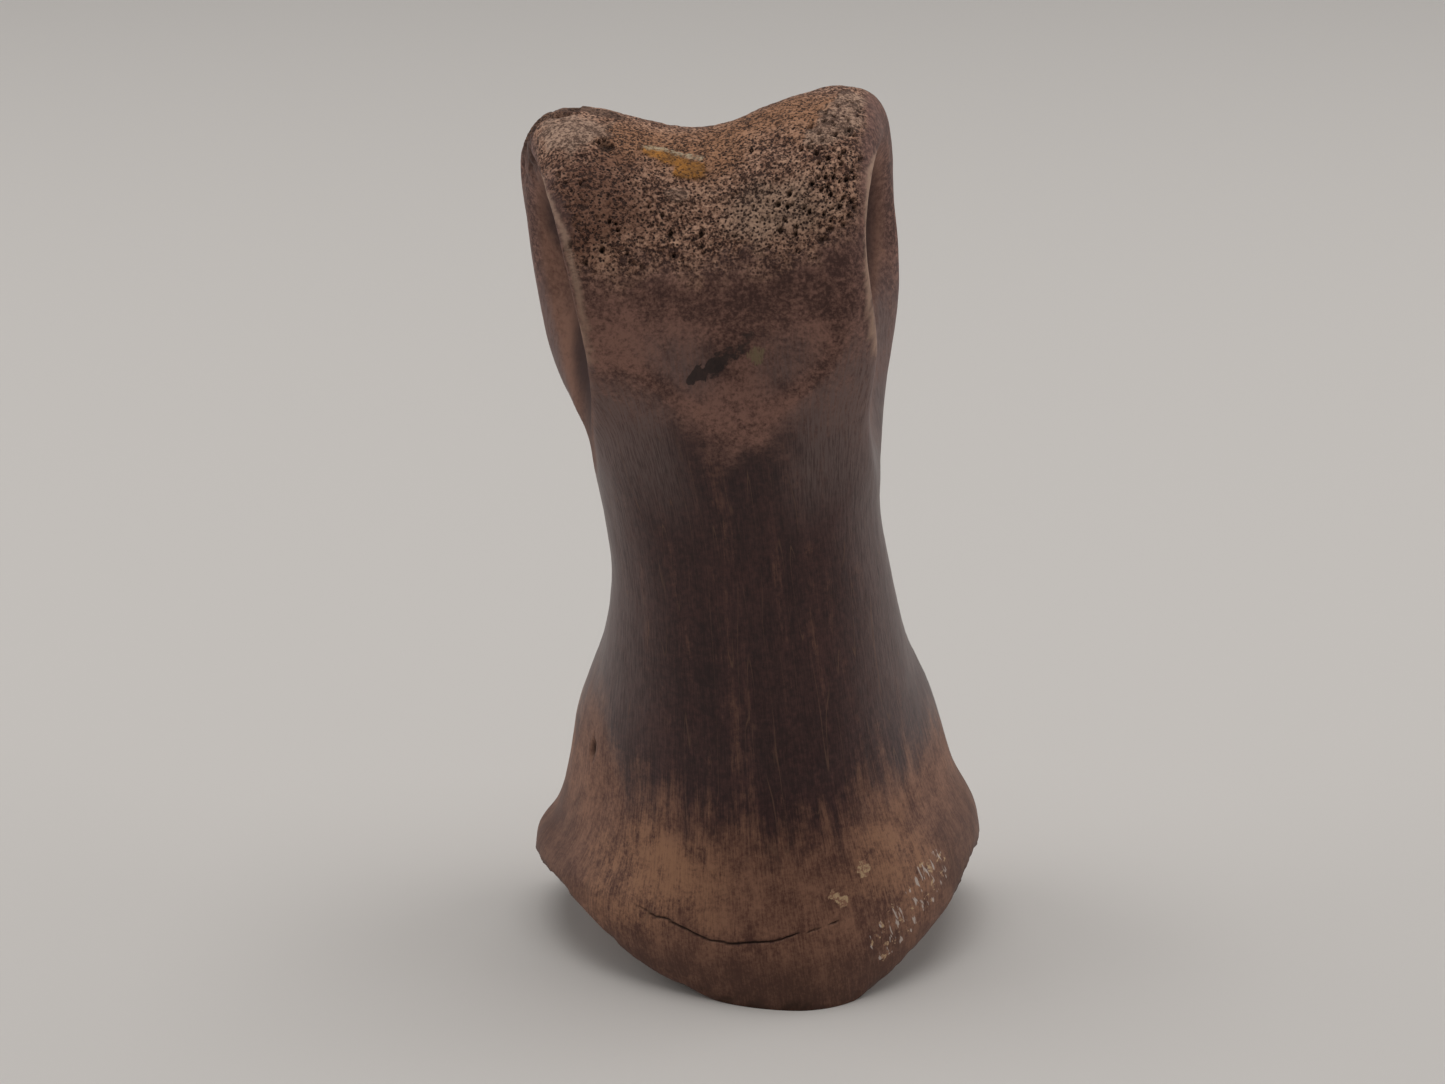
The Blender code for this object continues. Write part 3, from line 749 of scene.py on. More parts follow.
wide_pores = strongest(wide_pores * (1.0 - 0.9 * strongest(smooth_tan, ochre)), spot(*DARK_HOLE))

# Rim of the joint face, chipped most at the two wing tips and the right of the lip.
LEFT_TIP = ((-16.6, 1.0, 4.5), (3.0, 7.0, 4.0))
RIGHT_TIP = ((16.4, -1.0, 5.0), (3.4, 8.0, 4.5))
RIM_WIDTH = (1.4, 0.2)
RIM_LINE = (0.55, 0.1)
LIP_BESIDE = (7.0, 11.0)
CHIPS_FROM = (-0.1, 0.7)
over_face = z_mm - np.maximum(joint_face(points[:, 0], points[:, 1]), 0.0) / MM
off_rim = strongest(over_face, -side_wall(*points.T) / MM)
near_face = z_mm < LOW_POINT / MM
tips = strongest(spot(*LEFT_TIP), spot(*RIGHT_TIP))
chipped = fade(*CHIPS_FROM, layered(place_mm, 1.1, 51) + 0.7 * tips)
chipped = chipped * fade(*RIM_WIDTH, off_rim) * near_face
rim_line = fade(*RIM_LINE, off_rim) * near_face * fade(*LIP_BESIDE, across_mm)

# Broken crust along the crest of the left condyle, which ends in a step, and its crumbs, in
# levels like terraces.
CREST_TRAIL = (
    ((-17.6, 3.4, 61.6), (-16.5, 2.9, 63.6), (-14.9, 2.7, 64.7), (-12.4, 2.9, 65.0)),
    2.9, 0.3, 61)
CREST_PLATE = (((-12.9, 1.6, 65.0), (-10.8, 0.6, 64.7)), 1.0, 0.4, 63)
CREST_END = (-12.8, -13.0)
CRUMB_LEVELS = 4.0
crest = trail(*CREST_TRAIL) * fade(*CREST_END, x_mm)
crumbs = np.clip(0.45 + 0.8 * layered(place_mm, 1.3, 62), 0.0, 1.0)
crumbs = np.floor(CRUMB_LEVELS * crumbs) / CRUMB_LEVELS

# Drying crack, widest at mid-length, with gaps near its ends, which are hairlines.
CRACK_WIDTH = 0.045
CRACK_GAIN = 0.035
CRACK_WANDER = 0.08
CRACK_MIDDLE = -2.6
CRACK_STARTS = (CRACK[0, 0], CRACK[0, 0] + 3.0)
CRACK_ENDS = (CRACK[-1, 0], CRACK[-1, 0] - 0.8)
crack_shift = CRACK_WANDER * layered(along_x, 0.7, 71, 3)
off_crack = np.abs(z_mm - crack_height(points[:, 0]) / MM - crack_shift)
crack_gaps = drift(along_x, 0.7, 73) + 1.6 * fade(6.5, 3.5, np.abs(x_mm - CRACK_MIDDLE))
crack_open = fade(*CRACK_STARTS, x_mm) * fade(*CRACK_ENDS, x_mm) * fade(-0.55, -0.35, crack_gaps)
crack_open = crack_open * (0.7 + 0.5 * drift(along_x, 1.7, 72)) * (y_mm < -5.0)
crack = np.exp(-(off_crack / (CRACK_WIDTH + CRACK_GAIN * crack_open)) ** 2)
crack = crack * np.clip(3.0 * crack_open, 0.0, 1.0)

# The hole of a blood vessel low on the left, and the two ridges of the V under the front hollow.
VESSEL_HOLE = ((-12.25, -2.1, 16.0), (0.6, 0.28, 0.8), 0.25, 81, 0.4)
LEFT_RIDGE = ((-9.4, -10.3, 51.6), (-7.1, -9.7, 48.3), (-4.2, -9.6, 45.3), (-2.2, -9.5, 43.4))
RIGHT_RIDGE = ((6.3, -10.2, 53.6), (5.0, -9.9, 49.8), (2.2, -9.5, 46.0), (-0.4, -9.5, 43.4))
vessel_hole = spot(*VESSEL_HOLE)
v_ridges = trail(LEFT_RIDGE, 1.0, soft=0.8) + trail(RIGHT_RIDGE, 1.0, soft=0.8)

# The relief in mm, outwards: all of it is worn in a little, so that the bone keeps its size.
SKIN_LOSS = 0.07
SWELL = 0.045
RIPPLE = 0.02
FIBRE_HEIGHT = 0.009
RIDGE_HEIGHT = 0.12
SPONGY_DEPTH = 0.08
SPONGY_WAVES = 0.06
FINE_PORE_DEPTH = 0.13
WIDE_PORE_DEPTH = 0.36
CRACK_DEPTH = 0.25
VESSEL_DEPTH = 0.5
CHIP_DEPTH = 0.14
CHIP_WAVES = 0.16
CREST_DEPTH = 0.15
CRUMB_DEPTH = 0.75
RELIEF_LIMIT = 0.1
FLARE_TOP = 8.0
TOP_WEAR = 60.0
FOOT_FADE = 0.5
relief = SWELL * layered(place_mm, 7.0, 91) + RIPPLE * layered(place_mm, 2.2, 92) - SKIN_LOSS
relief = relief + FIBRE_HEIGHT * layered(grain, 0.7, 93, 3) * (1.0 - spongy) + RIDGE_HEIGHT * v_ridges
sunken = SPONGY_DEPTH + SPONGY_WAVES * layered(place_mm, 1.2, 94)
relief = relief - spongy * sunken * (1.0 - closed)
relief = relief - FINE_PORE_DEPTH * fine_pores - WIDE_PORE_DEPTH * wide_pores
relief = relief - CRACK_DEPTH * crack - VESSEL_DEPTH * vessel_hole
relief = relief - chipped * (CHIP_DEPTH + CHIP_WAVES * layered(place_mm, 0.8, 95))
relief = relief - crest * (CREST_DEPTH + CRUMB_DEPTH * crumbs)
limit = RELIEF_LIMIT * (z_mm > FLARE_TOP) * (z_mm < TOP_WEAR)
relief = np.minimum(relief, limit) * fade(0.0, FOOT_FADE, z_mm)
surface = points
points = surface + normals * (MM * relief)[:, None] - BOX_MIDDLE


# Stains, as shares from 0 to 1 that the finish reads: where the bone is browner than its dark shaft,
# where minerals, chalk and a dark film lie on it, and where its ridge edges are rubbed pale, partly a
# painted highlight. Others are painted light and shade: a painted sheen on the sides, painted shade in
# the pits next to their ridges and a painted shadow spot above the film.

# Height in mm of the brown flare's edge over each x, in front; behind it runs level.
FRINGE = np.array([(-18, 16.5), (-14.5, 17.0), (-12, 19.5), (-10.6, 15.5), (-8.8, 13.6),
                   (-5.4, 13.4), (-3.2, 12.2), (0.9, 11.8), (4.2, 12.4), (7.2, 13.8),
                   (10.7, 15.4), (13, 17.0), (18, 17.5)])
FRINGE_BEHIND = 14.5
FRINGE_REACH = 4.5
PALE_LEFT = ((-8.6, -9.6, 8.6), (4.8, 5.0, 3.8), 0.3, 119, 0.6)
PALE_RIGHT = ((10.2, -8.2, 9.0), (4.4, 5.0, 3.6), 0.3, 120, 0.6)
V_FIELD = ((-1.2, -9.5, 45.0), (4.4, 3.0, 3.5), 0.35, 103, 0.8)
LEFT_BLOTCHES = ((-6.4, -9.8, 50.4), (2.6, 2.0, 2.2), 0.5, 104, 0.6)
FAR_LEFT_BLOTCH = ((-10.3, -10.3, 50.6), (2.6, 2.5, 3.6), 0.4, 105, 0.6)
RIGHT_BLOTCHES = ((5.0, -9.8, 49.0), (2.4, 2.0, 3.0), 0.5, 106, 0.6)
DULL_LEFT = ((-12.0, -8.0, 59.6), (4.2, 4.5, 4.2), 0.3, 122, 0.6)
DARK_BAND = ((-0.6, -10.2, 54.2), (9.5, 2.5, 2.1), 0.25, 107, 0.5)
FILM_TRAIL = (((-4.8, -9.2, 47.7), (-3.7, -9.1, 48.1), (-2.9, -8.9, 48.5)), 0.55, 0.5, 108, 0.3)
FILM_THIN = (((-3.2, -8.9, 48.5), (-1.8, -8.8, 49.2), (-0.9, -9.0, 50.4)), 0.85, 0.6, 109, 0.6)
# A painted shadow spot above the film, at the top of the front hollow.
SHADOW_SPOT = ((-0.7, -9.4, 51.2), (1.1, 0.9, 0.9), 0.5, 110, 0.7)
GREEN_SPOT = ((-0.3, -8.9, 49.25), (0.75, 0.9, 0.7), 0.4, 111, 0.3)
SADDLE_WARMTH = (
    ((-9.0, -3.0, 63.6), (-4.0, -3.6, 62.8), (-1.4, -1.3, 64.1), (1.5, -1.5, 65.1), (4.0, -3.0, 65.4)),
    2.6, 0.3, 116, 0.7)
CRUMBLY_GREY = ((1.2, -8.4, 59.8), (3.6, 2.6, 2.2), 0.35, 112, 0.5)
CHALKED = (((9.6, -11.1, 4.3), (12.0, -8.8, 6.6), (13.8, -6.6, 8.1)), 1.8, 0.2, 113, 0.3)
UPPER_FLECK = ((7.9, -10.5, 9.8), (0.5, 0.7, 0.65), 0.3, 114, 0.2)
LOWER_FLECK = (((5.7, -11.9, 8.35), (6.3, -11.8, 7.8)), 0.4, 0.35, 115, 0.2)
# Pale lines along the ridges beside the side hollows: rubbed edges with a painted highlight.
LEFT_RIDGE_HIGHLIGHT = (
    ((-15.6, -5.5, 61.2), (-14.7, -7.7, 59.9), (-13.8, -9.3, 58.2), (-13.2, -10.3, 56.1),
     (-12.7, -10.7, 54.1), (-12.4, -10.5, 51.5), (-12.1, -9.8, 49.0)),
    0.24, 0.4, 117, 0.8)
RIGHT_RIDGE_HIGHLIGHT = (
    ((8.6, -4.5, 62.8), (7.8, -6.6, 61.9), (7.7, -8.4, 59.4), (7.5, -9.6, 55.4),
     (7.8, -9.7, 53.3), (8.1, -9.0, 51.1), (8.3, -8.1, 49.2)),
    0.30, 0.4, 118, 0.8)

# Where a stain starts and where it is full, in mm of y, z or distance from the middle.
IN_FRONT = (9.0, 2.0)
NECK_RISE = (36.0, 51.0)
FLANK_RISE = (14.0, 24.0)
NECK_FLANK_RISE = (34.0, 41.0)
FLANK_TOP = (54.0, 46.0)
PALER_FLANK = (30.0, 42.0)
LIP_DIM = (5.6, 1.5)
WING_DIM = (12.5, 16.0)
WING_DIM_TOP = (14.0, 10.0)

# Where shade is painted into the pits, darkest next to their front ridge: in front of this y in mm at
# each height, and on the right further back by the shift.
PIT_SHADE_EDGE = np.array([(44, 2.4), (47, 3.0), (50, 3.8), (54, 4.6), (58, 4.9), (62, 4.9)])
PITS = ((left_face, LEFT_HOLLOWS, 0.0), (right_face, RIGHT_HOLLOWS, 2.2))

in_front = fade(*IN_FRONT, y_mm)
fringe = FRINGE_BEHIND + in_front * (through(FRINGE, x_mm) - FRINGE_BEHIND)
fringe = fringe + 0.8 * layered(grain, 2.2, 101, 3)
flare_brown = np.clip(0.5 - (z_mm - fringe) / (2.0 * FRINGE_REACH), 0.0, 1.0)
neck = fade(*NECK_RISE, z_mm + 2.5 * layered(place_mm, 3.0, 102))
# Painted sheen: a greyer tone where the surface faces sideways, up the shaft and the neck's sides,
# stronger higher up.
sideways = np.abs(normals[:, 0])
painted_sheen = strongest(fade(0.35, 0.85, sideways) * fade(*FLANK_RISE, z_mm),
                  fade(0.04, 0.30, sideways) * fade(*NECK_FLANK_RISE, z_mm))
painted_sheen = painted_sheen * fade(*FLANK_TOP, z_mm) * (1.0 + 0.4 * fade(*PALER_FLANK, z_mm))
hollow_brown = strongest(spot(*V_FIELD), 0.8 * spot(*LEFT_BLOTCHES),
                         0.95 * spot(*FAR_LEFT_BLOTCH), 0.6 * spot(*RIGHT_BLOTCHES))
hollow_brown = hollow_brown * (1.0 - spot(*DARK_BAND))
dim = fade(*WING_DIM, across_mm) * fade(*WING_DIM_TOP, z_mm)
dim = strongest(fade(*LIP_DIM, z_mm), dim) * in_front
pale = strongest(spot(*PALE_LEFT), 0.8 * spot(*PALE_RIGHT)) * (1.0 - dim)
pit = np.zeros(len(points))
deep = pit
for face, hollows, shift in PITS:
    sunk = bowls(*surface.T[1:], hollows) / MM
    in_pit = fade(0.8, 0.2, np.abs(face + sunk)) * fade(0.1, 0.9, sunk)
    in_pit = in_pit * (z_mm > HOLLOWS_ABOVE / MM)
    pit = strongest(pit, in_pit)
    # Painted shade: the pit floor is darkened in front, next to the ridge that would shade it.
    behind_edge = y_mm - through(PIT_SHADE_EDGE, z_mm) - shift + 0.5 * layered(place_mm, 2.5, 121)
    deep = strongest(deep, in_pit * fade(0.3, 1.6, sunk) * fade(1.0, -0.7, behind_edge))
open_holes = np.clip(0.3 * fine_pores + 0.8 * wide_pores + vessel_hole, 0.0, 1.0)
broken = crest * (0.5 + 0.6 * crumbs) + 0.8 * trail(*CREST_PLATE)

STAINS = {
    "spongy": spongy,
    "smooth": strongest(smooth_tan, 0.85 * pale_streak, pale_lump),
    "warm": trail(*SADDLE_WARMTH) * (1.0 - pale_streak),
    "grey": spot(*CRUMBLY_GREY),
    "ochre": ochre,
    "cream": cream,
    "pores": open_holes,
    "brown": flare_brown,
    "neck": strongest(neck, hollow_brown),
    "hollow": hollow_brown,
    "pale": pale,
    "dim": strongest(dim, spot(*DULL_LEFT)),
    "pit": pit,
    "deep": deep,
    "painted_sheen": painted_sheen,
    "film_and_shade": strongest(trail(*FILM_TRAIL), 0.7 * trail(*FILM_THIN), 0.4 * spot(*SHADOW_SPOT)),
    "green_spot": 0.8 * spot(*GREEN_SPOT),
    "chalk": trail(*CHALKED),
    "lemon": strongest(spot(*UPPER_FLECK), trail(*LOWER_FLECK)),
    "rubbed_highlight": strongest(trail(*LEFT_RIDGE_HIGHLIGHT), trail(*RIGHT_RIDGE_HIGHLIGHT)),
    "crack": crack,
    "broken": np.clip(chipped + rim_line + broken, 0.0, 1.0),
}
bone_mesh = bpy.data.meshes.new("toe_bone_skin")
bone_mesh.from_pydata(points.tolist(), [], triangles.tolist())
bone_mesh.shade_smooth()
for stain, shares in STAINS.items():
    stain_layer = bone_mesh.attributes.new(stain, "FLOAT", "POINT")
    stain_layer.data.foreach_set("value", shares.astype(np.float32))
grain_layer = bone_mesh.attributes.new("grain", "FLOAT_VECTOR", "POINT")
grain_layer.data.foreach_set("vector", grain.astype(np.float32).ravel())


# The finish: satin mineralised bone. Its colours are noise between pairs of browns, streaked
# along the grain, with dark pores between pale walls on the roller, stains laid over, and painted
# sheen, highlight and shade.

bone_finish = bpy.data.materials.new("fossil_bone_finish")
bone_finish.use_nodes = True
finish_nodes = bone_finish.node_tree.nodes
finish_links = bone_finish.node_tree.links
bone_shader = finish_nodes["Principled BSDF"]


def add_node(kind, inputs, output=0, **settings):
    """A shader node with its settings, whose inputs are values or other nodes' outputs."""
    node = finish_nodes.new(kind)
    for name, value in settings.items():
        setattr(node, name, value)
    for name, value in inputs.items():
        if isinstance(value, bpy.types.NodeSocket):
            finish_links.new(value, node.inputs[name])
        else:
            node.inputs[name].default_value = value
    return node.outputs[output]


def share_of(stain):
    """The stain's share at each point."""
    return add_node("ShaderNodeAttribute", {}, "Fac", attribute_name=stain)


def colour_mix(share, under, over):
    """Colour that goes from under to over as the share goes from 0 to 1."""
    return add_node("ShaderNodeMix", {0: share, 6: under, 7: over}, 2, data_type="RGBA")


def arithmetic(operation, first, second=0.0, third=0.0, clamp=True):
    """A sum, product or other arithmetic of two or three numbers, kept from 0 to 1 if clamped."""
    inputs = {0: first, 1: second, 2: third}
    return add_node("ShaderNodeMath", inputs, operation=operation, use_clamp=clamp)


def product(first, second):
    """Two numbers multiplied, kept from 0 to 1."""
    return arithmetic("MULTIPLY", first, second)


def eased(value, start, end, low=0.0, high=1.0):
    """Low to high as the value goes from start to end."""
    ends = {"Value": value, "From Min": start, "From Max": end, "To Min": low, "To Max": high}
    return add_node("ShaderNodeMapRange", ends, interpolation_type="SMOOTHSTEP")


def noise_at(vector, per_unit, detail=4.0, roughness=0.6):
    """Layered noise about 0.5 with that many waves to the vector's unit."""
    inputs = {"Vector": vector, "Scale": per_unit, "Detail": detail, "Roughness": roughness}
    return add_node("ShaderNodeTexNoise", inputs, "Fac")


def blend_of(*parts):
    """Weighted sum of (value, weight) pairs."""
    total = 0.0
    for value, weight in parts:
        total = arithmetic("MULTIPLY_ADD", value, weight, total, clamp=False)
    return total


def off_middle(value):
    """How far layered noise stands from its middle, 0.5: near 0 along worm-like lines."""
    return arithmetic("ABSOLUTE", arithmetic("SUBTRACT", value, 0.5, clamp=False))


def toned(mix, start, end, under, over):
    """Colour that goes from under to over as a mix of noises goes from start to end."""
    return colour_mix(eased(mix, start, end), under, over)


def laid(under, stain, strength, tone):
    """Colour with a stain's tone over it, by the stain's share times a strength."""
    return colour_mix(product(share_of(stain), strength), under, tone)


here = add_node("ShaderNodeTexCoord", {}, "Object")
along_grain = add_node("ShaderNodeAttribute", {}, "Vector", attribute_name="grain")

blotch = noise_at(here, 190.0, 4.0)
patchy = noise_at(here, 520.0, 5.0, 0.65)
mottle = noise_at(here, 2300.0, 4.0, 0.7)
grit = noise_at(here, 3600.0, 3.0, 0.7)
speckle = noise_at(here, 5200.0, 2.0)
streak = noise_at(along_grain, 0.8, 4.0, 0.6)
fine_streak = noise_at(along_grain, 5.0, 3.0, 0.6)
fibre = noise_at(along_grain, 9.0, 3.0, 0.7)

SHAFT_DARK = (0.034, 0.0160, 0.0155, 1.0)
SHAFT_RED = (0.092, 0.040, 0.035, 1.0)
SHAFT_SHEEN_GREY = (0.125, 0.082, 0.074, 1.0)
NECK_SHEEN_GREY = (0.200, 0.130, 0.116, 1.0)
FLARE_DARK = (0.095, 0.038, 0.026, 1.0)
FLARE_TAN = (0.275, 0.135, 0.084, 1.0)
FLARE_PALE = (0.360, 0.180, 0.100, 1.0)
FLARE_DIM = (0.092, 0.041, 0.028, 1.0)
NECK_DARK = (0.078, 0.037, 0.030, 1.0)
NECK_BROWN = (0.315, 0.163, 0.124, 1.0)
PIT_BROWN = (0.285, 0.146, 0.100, 1.0)
WALL_BROWN = (0.165, 0.070, 0.042, 1.0)
WALL_TAN = (0.590, 0.350, 0.236, 1.0)
WALL_ORANGE = (0.360, 0.168, 0.082, 1.0)
WALL_GREY = (0.400, 0.280, 0.200, 1.0)
PORE_BROWN = (0.030, 0.013, 0.009, 1.0)
PORE_DARK = (0.014, 0.007, 0.005, 1.0)
CRUST_TAN = (0.210, 0.125, 0.088, 1.0)
PALE_CRUST_AND_HIGHLIGHT = (0.460, 0.300, 0.215, 1.0)
OCHRE_DARK = (0.220, 0.100, 0.030, 1.0)
OCHRE_BRIGHT = (0.460, 0.190, 0.035, 1.0)
CREAM = (0.500, 0.390, 0.260, 1.0)
FILM_AND_SHADE_BLACK = (0.026, 0.020, 0.019, 1.0)
GREEN_TAN = (0.250, 0.185, 0.105, 1.0)
CHALK_WHITE = (0.540, 0.450, 0.395, 1.0)
CHALK_SLANT = math.radians(-25.0)
CHALK_STRETCH = 4.0
LEMON_TAN = (0.520, 0.350, 0.200, 1.0)
BREAK_BROWN = (0.062, 0.030, 0.019, 1.0)
HAIR_TAN = (0.170, 0.090, 0.058, 1.0)

# Shaft and flare. The brown edges are drawn out into flames where the streaks push them.
shaft_mix = blend_of((streak, 0.2), (fibre, 0.3), (mottle, 0.35), (blotch, 0.15))
shaft_tone = toned(shaft_mix, 0.40, 0.62, SHAFT_DARK, SHAFT_RED)
flare_mix = blend_of((fibre, 0.25), (grit, 0.25), (patchy, 0.30), (streak, 0.20))
flare_tone = toned(flare_mix, 0.40, 0.60, FLARE_DARK, FLARE_TAN)
flare_tone = laid(flare_tone, "pale", eased(flare_mix, 0.40, 0.58), FLARE_PALE)
flare_tone = laid(flare_tone, "dim", eased(flare_mix, 0.40, 0.60, 1.0, 0.5), FLARE_DIM)
neck_mix = blend_of((mottle, 0.25), (patchy, 0.20), (blotch, 0.15), (grit, 0.40))
neck_mix = blend_of((neck_mix, 1.0), (share_of("hollow"), 0.09))
neck_tone = toned(neck_mix, 0.43, 0.65, NECK_DARK, NECK_BROWN)
neck_edge = blend_of((patchy, 0.8), (share_of("neck"), 1.0))
colour = toned(neck_edge, 0.6, 1.4, shaft_tone, neck_tone)
flames = blend_of((streak, 1.3), (fibre, 0.4), (patchy, 0.6), (mottle, 0.4), (share_of("brown"), 1.0))
colour = toned(flames, 1.42, 2.10, colour, flare_tone)
# Painted sheen on the sides, greyer on the neck, streaked along the fibres.
sheen_tone = colour_mix(share_of("neck"), SHAFT_SHEEN_GREY, NECK_SHEEN_GREY)
colour = laid(colour, "painted_sheen", eased(fibre, 0.38, 0.62, 0.3, 0.85), sheen_tone)
pit_tone = toned(blend_of((mottle, 0.5), (blotch, 0.5)), 0.30, 0.60, FLARE_DARK, PIT_BROWN)
# Painted shade in the pits next to their ridges, in the dark shaft colour.
pit_tone = laid(pit_tone, "deep", 0.92, SHAFT_DARK)
colour = laid(colour, "pit", 0.9, pit_tone)

# Pale hairlines along the grain, thin worm-lines of stretched noise, broken up by a wider one.
hair = eased(off_middle(noise_at(along_grain, 0.7, 1.0)), 0.009, 0.001)
hair = product(hair, eased(noise_at(along_grain, 1.3, 2.0), 0.44, 0.60))
hair = product(hair, eased(share_of("neck"), 0.6, 0.2, 0.0, 0.55))
colour = colour_mix(hair, colour, HAIR_TAN)

# Open-pored zone: tan crumbs and walls with dark gaps of noise between them, and round pores,
# one to a cell and each of its own strength, their cells bent by a warp.
PORES_PER_METRE = 4200.0
WARPS_PER_METRE = 3000.0
PORE_WARP = 0.00014
warp_inputs = {"Vector": here, "Scale": WARPS_PER_METRE, "Detail": 1.0}
warp = add_node("ShaderNodeTexNoise", warp_inputs, "Color")
warp = add_node("ShaderNodeVectorMath", {0: warp, 1: (0.5, 0.5, 0.5)}, operation="SUBTRACT")
warp = add_node("ShaderNodeVectorMath", {0: warp, "Scale": PORE_WARP}, operation="SCALE")
warped = add_node("ShaderNodeVectorMath", {0: here, 1: warp}, operation="ADD")
pore_cell = {"Vector": warped, "Scale": PORES_PER_METRE}
pore_off = add_node("ShaderNodeTexVoronoi", pore_cell, "Distance")
pore_lot = add_node("ShaderNodeTexVoronoi", pore_cell, "Color")
pore = product(eased(pore_off, 0.50, 0.30), eased(pore_lot, 0.20, 0.70, 0.20, 1.0))
gap_mix = blend_of((grit, 0.45), (speckle, 0.35), (patchy, 0.20))
pore = arithmetic("MAXIMUM", pore, eased(gap_mix, 0.495, 0.43, 0.0, 0.85))
wall_mix = blend_of((grit, 0.40), (speckle, 0.15), (mottle, 0.15), (patchy, 0.30))
wall_tone = toned(wall_mix, 0.42, 0.62, WALL_BROWN, WALL_TAN)
wall_tone = laid(wall_tone, "warm", 0.75, WALL_ORANGE)
wall_tone = laid(wall_tone, "grey", 0.45, WALL_GREY)
wall_tone = laid(wall_tone, "dim", 0.8, WALL_BROWN)
spongy_tone = colour_mix(pore, wall_tone, PORE_BROWN)
crust_mix = blend_of((grit, 0.6), (patchy, 0.4))
crust_tone = toned(crust_mix, 0.40, 0.60, CRUST_TAN, PALE_CRUST_AND_HIGHLIGHT)
spongy_tone = laid(spongy_tone, "smooth", eased(pore, 0.2, 0.9, 0.9, 0.45), crust_tone)
colour = laid(colour, "spongy", 1.0, spongy_tone)

# Rubbed edges with a painted highlight along the ridges, breaks and crusts on top, each with its
# strength.
ochre_tone = toned(patchy, 0.38, 0.62, OCHRE_DARK, OCHRE_BRIGHT)
LAID_ON_TOP = (
    ("rubbed_highlight", 0.7, PALE_CRUST_AND_HIGHLIGHT), ("broken", 0.85, BREAK_BROWN),
    ("ochre", eased(pore, 0.3, 1.0, 1.0, 0.3), ochre_tone), ("cream", eased(mottle, 0.3, 0.6), CREAM))
for stain, strength, tone in LAID_ON_TOP:
    colour = laid(colour, stain, strength, tone)

# Film, with a painted shadow spot laid in the same black, flecks and chalk have crumbly edges: each
# begins where its share and some noises add up to a start, and has its full strength from an end.
slant = {"Vector": here, "Rotation": (0.0, CHALK_SLANT, 0.0), "Scale": (1.0, 1.0, CHALK_STRETCH)}
slanted = add_node("ShaderNodeMapping", slant, vector_type="TEXTURE")
ticks = noise_at(slanted, 2300.0, 2.0)
flakes = noise_at(here, 1500.0, 2.0)
fleck_tone = toned(grit, 0.42, 0.58, FLARE_TAN, LEMON_TAN)
CRUMBLY = (
    ("film_and_shade", ((mottle, 0.9),), 1.02, 1.20, 0.80, FILM_AND_SHADE_BLACK),
    ("green_spot", ((fibre, 2.0), (mottle, 0.5)), 1.72, 1.98, 0.85, GREEN_TAN),
    ("lemon", ((mottle, 1.1),), 0.96, 1.12, 1.0, fleck_tone),
    ("chalk", ((flakes, 1.5),), 1.86, 1.94, 1.0, fleck_tone),
    ("chalk", ((ticks, 1.6), (blotch, 0.4)), 2.12, 2.22, 0.85, CHALK_WHITE))
for stain, noises, start, end, strength, tone in CRUMBLY:
    edge = blend_of((share_of(stain), 1.0), *noises)
    colour = colour_mix(eased(edge, start, end, 0.0, strength), colour, tone)
for stain in ("pores", "crack"):
    colour = laid(colour, stain, 1.0, PORE_DARK)
finish_links.new(colour, bone_shader.inputs["Base Color"])

# Gloss: satin on the shaft, duller on the flare and neck, dull in the pits and open pores.
matt_share = eased(share_of("brown"), 0.2, 0.8, 0.0, 0.5)
for stain, strength in (("pit", 1.0), ("neck", 0.7), ("spongy", 1.0)):
    matt_share = arithmetic("MAXIMUM", matt_share, product(share_of(stain), strength))
finish_links.new(eased(matt_share, 0.0, 1.0, 0.40, 0.85), bone_shader.inputs["Roughness"])
bone_shader.inputs["Specular IOR Level"].default_value = 0.28
bone_shader.inputs["Sheen Weight"].default_value = 0.03
bone_shader.inputs["Sheen Roughness"].default_value = 0.45

# Fine height: pore walls on the roller, a faint grain and specks elsewhere.
BUMP_HEIGHT = 0.00012
pore_depth = product(pore, share_of("spongy"))
height = blend_of((fine_streak, 0.12), (speckle, 0.12), (pore_depth, -1.0))
bumps = {"Height": height, "Strength": 0.8, "Distance": BUMP_HEIGHT}
finish_links.new(add_node("ShaderNodeBump", bumps, "Normal"), bone_shader.inputs["Normal"])

bone_mesh.materials.append(bone_finish)
bone_piece = bpy.data.objects.new("toe_bone_skin", bone_mesh)
bpy.context.collection.objects.link(bone_piece)
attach(bone_piece, "root")
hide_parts("toe_bone")


# The table: a plain pale sheet under soft light from overhead and from both sides.

TABLE_HALF = 1.5
TABLE_COLOUR = (0.66, 0.625, 0.59, 1.0)
TABLE_ROUGHNESS = 0.6
ROOM_LIGHT = (0.14, 0.14, 0.14, 1.0)

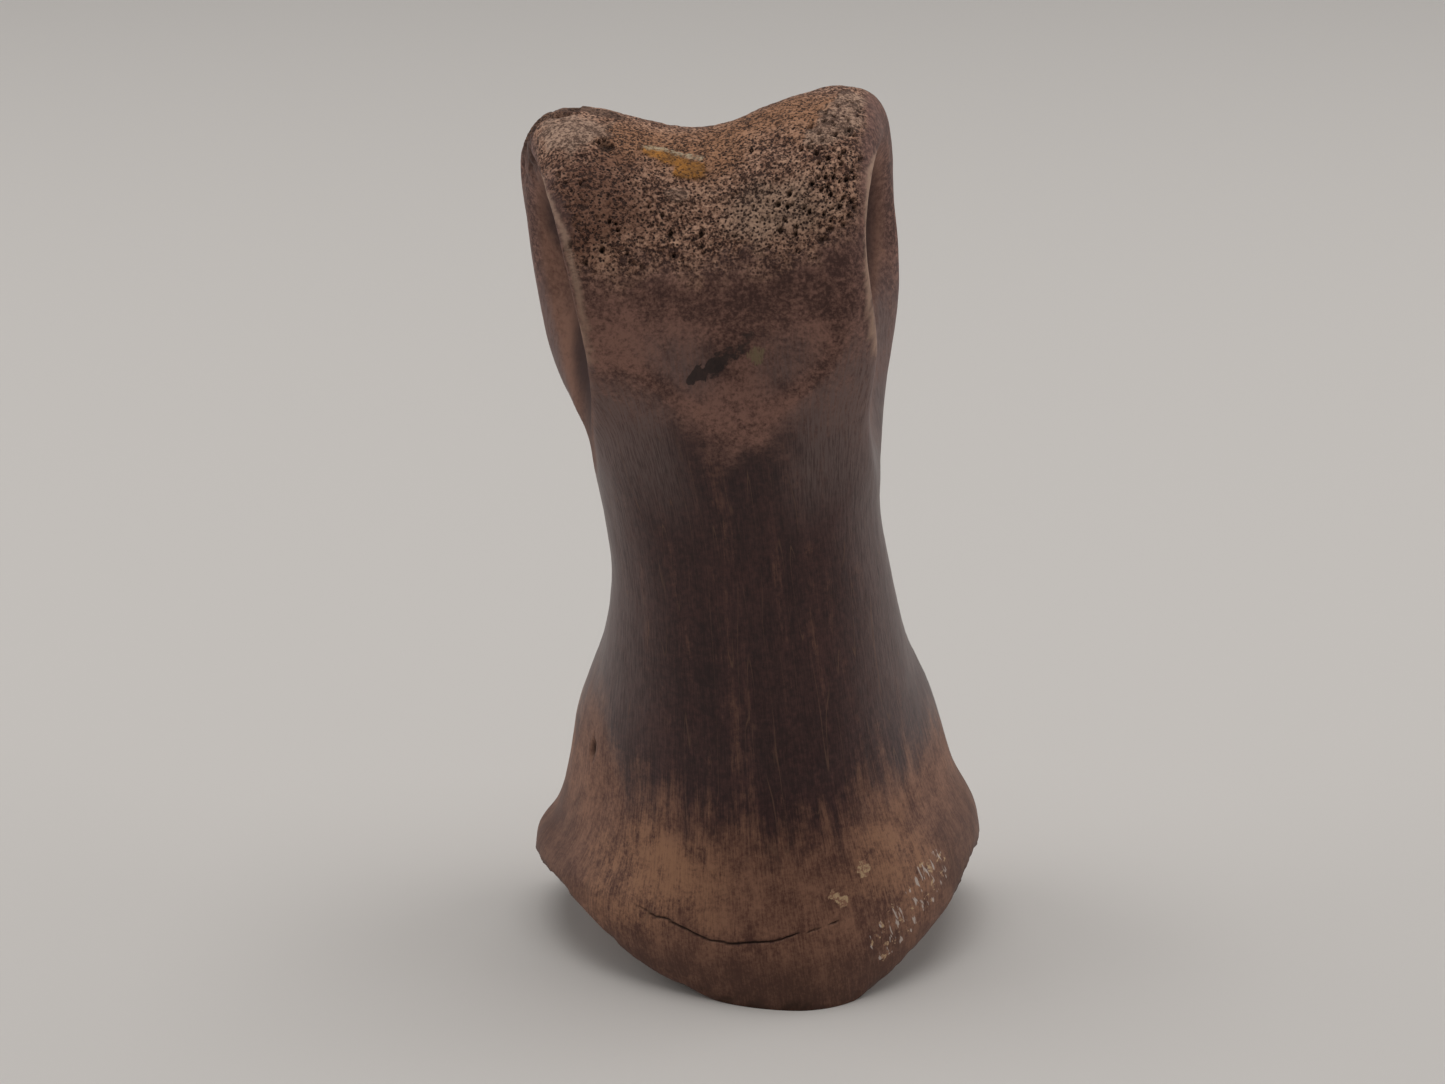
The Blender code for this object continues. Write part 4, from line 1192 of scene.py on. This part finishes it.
table_corners = [(-TABLE_HALF, -TABLE_HALF, 0), (TABLE_HALF, -TABLE_HALF, 0),
                 (TABLE_HALF, TABLE_HALF, 0), (-TABLE_HALF, TABLE_HALF, 0)]
table_mesh = bpy.data.meshes.new("table_top")
table_mesh.from_pydata(table_corners, [], [(0, 1, 2, 3)])
table = bpy.data.objects.new("table_top", table_mesh)
bpy.context.collection.objects.link(table)
table_material = bpy.data.materials.new("table_paint")
table_material.use_nodes = True
table_surface = table_material.node_tree.nodes["Principled BSDF"]
table_surface.inputs["Base Color"].default_value = TABLE_COLOUR
table_surface.inputs["Roughness"].default_value = TABLE_ROUGHNESS
table_mesh.materials.append(table_material)

world = bpy.data.worlds.new("studio")
bpy.context.scene.world = world
world.use_nodes = True
world.node_tree.nodes["Background"].inputs["Color"].default_value = ROOM_LIGHT


def soft_light(name, place, aim, size, power):
    """A square area light at a place, turned so that it shines at the aim."""
    lamp = bpy.data.lights.new(name, "AREA")
    lamp.shape = "SQUARE"
    lamp.size = size
    lamp.energy = power
    holder = bpy.data.objects.new(name, lamp)
    bpy.context.collection.objects.link(holder)
    holder.location = place
    holder.rotation_euler = (Vector(aim) - Vector(place)).to_track_quat("-Z", "Y").to_euler()


OVERHEAD = ((0.0, 0.08, 0.8), (0.0, 0.0, 0.0), 0.7, 3.6)
LEFT_PANEL = ((-0.55, 0.10, 0.25), (0.0, 0.0, 0.03), 0.6, 1.5)
RIGHT_PANEL = ((0.55, 0.10, 0.25), (0.0, 0.0, 0.03), 0.6, 1.5)
soft_light("overhead", *OVERHEAD)
soft_light("left_panel", *LEFT_PANEL)
soft_light("right_panel", *RIGHT_PANEL)

CAMERA_PLACE = (-0.00264, -0.25556, 0.120)
CAMERA_PITCH = math.radians(19.0)
SENSOR_MM = 36.0
LENS_MM = 89.69
camera_data = bpy.data.cameras.new("camera")
camera_data.sensor_width = SENSOR_MM
camera_data.lens = LENS_MM
camera = bpy.data.objects.new("camera", camera_data)
camera.location = CAMERA_PLACE
camera.rotation_euler = (math.pi / 2.0 - CAMERA_PITCH, 0.0, 0.0)
bpy.context.collection.objects.link(camera)
bpy.context.scene.camera = camera
bpy.context.scene.view_settings.view_transform = "Standard"
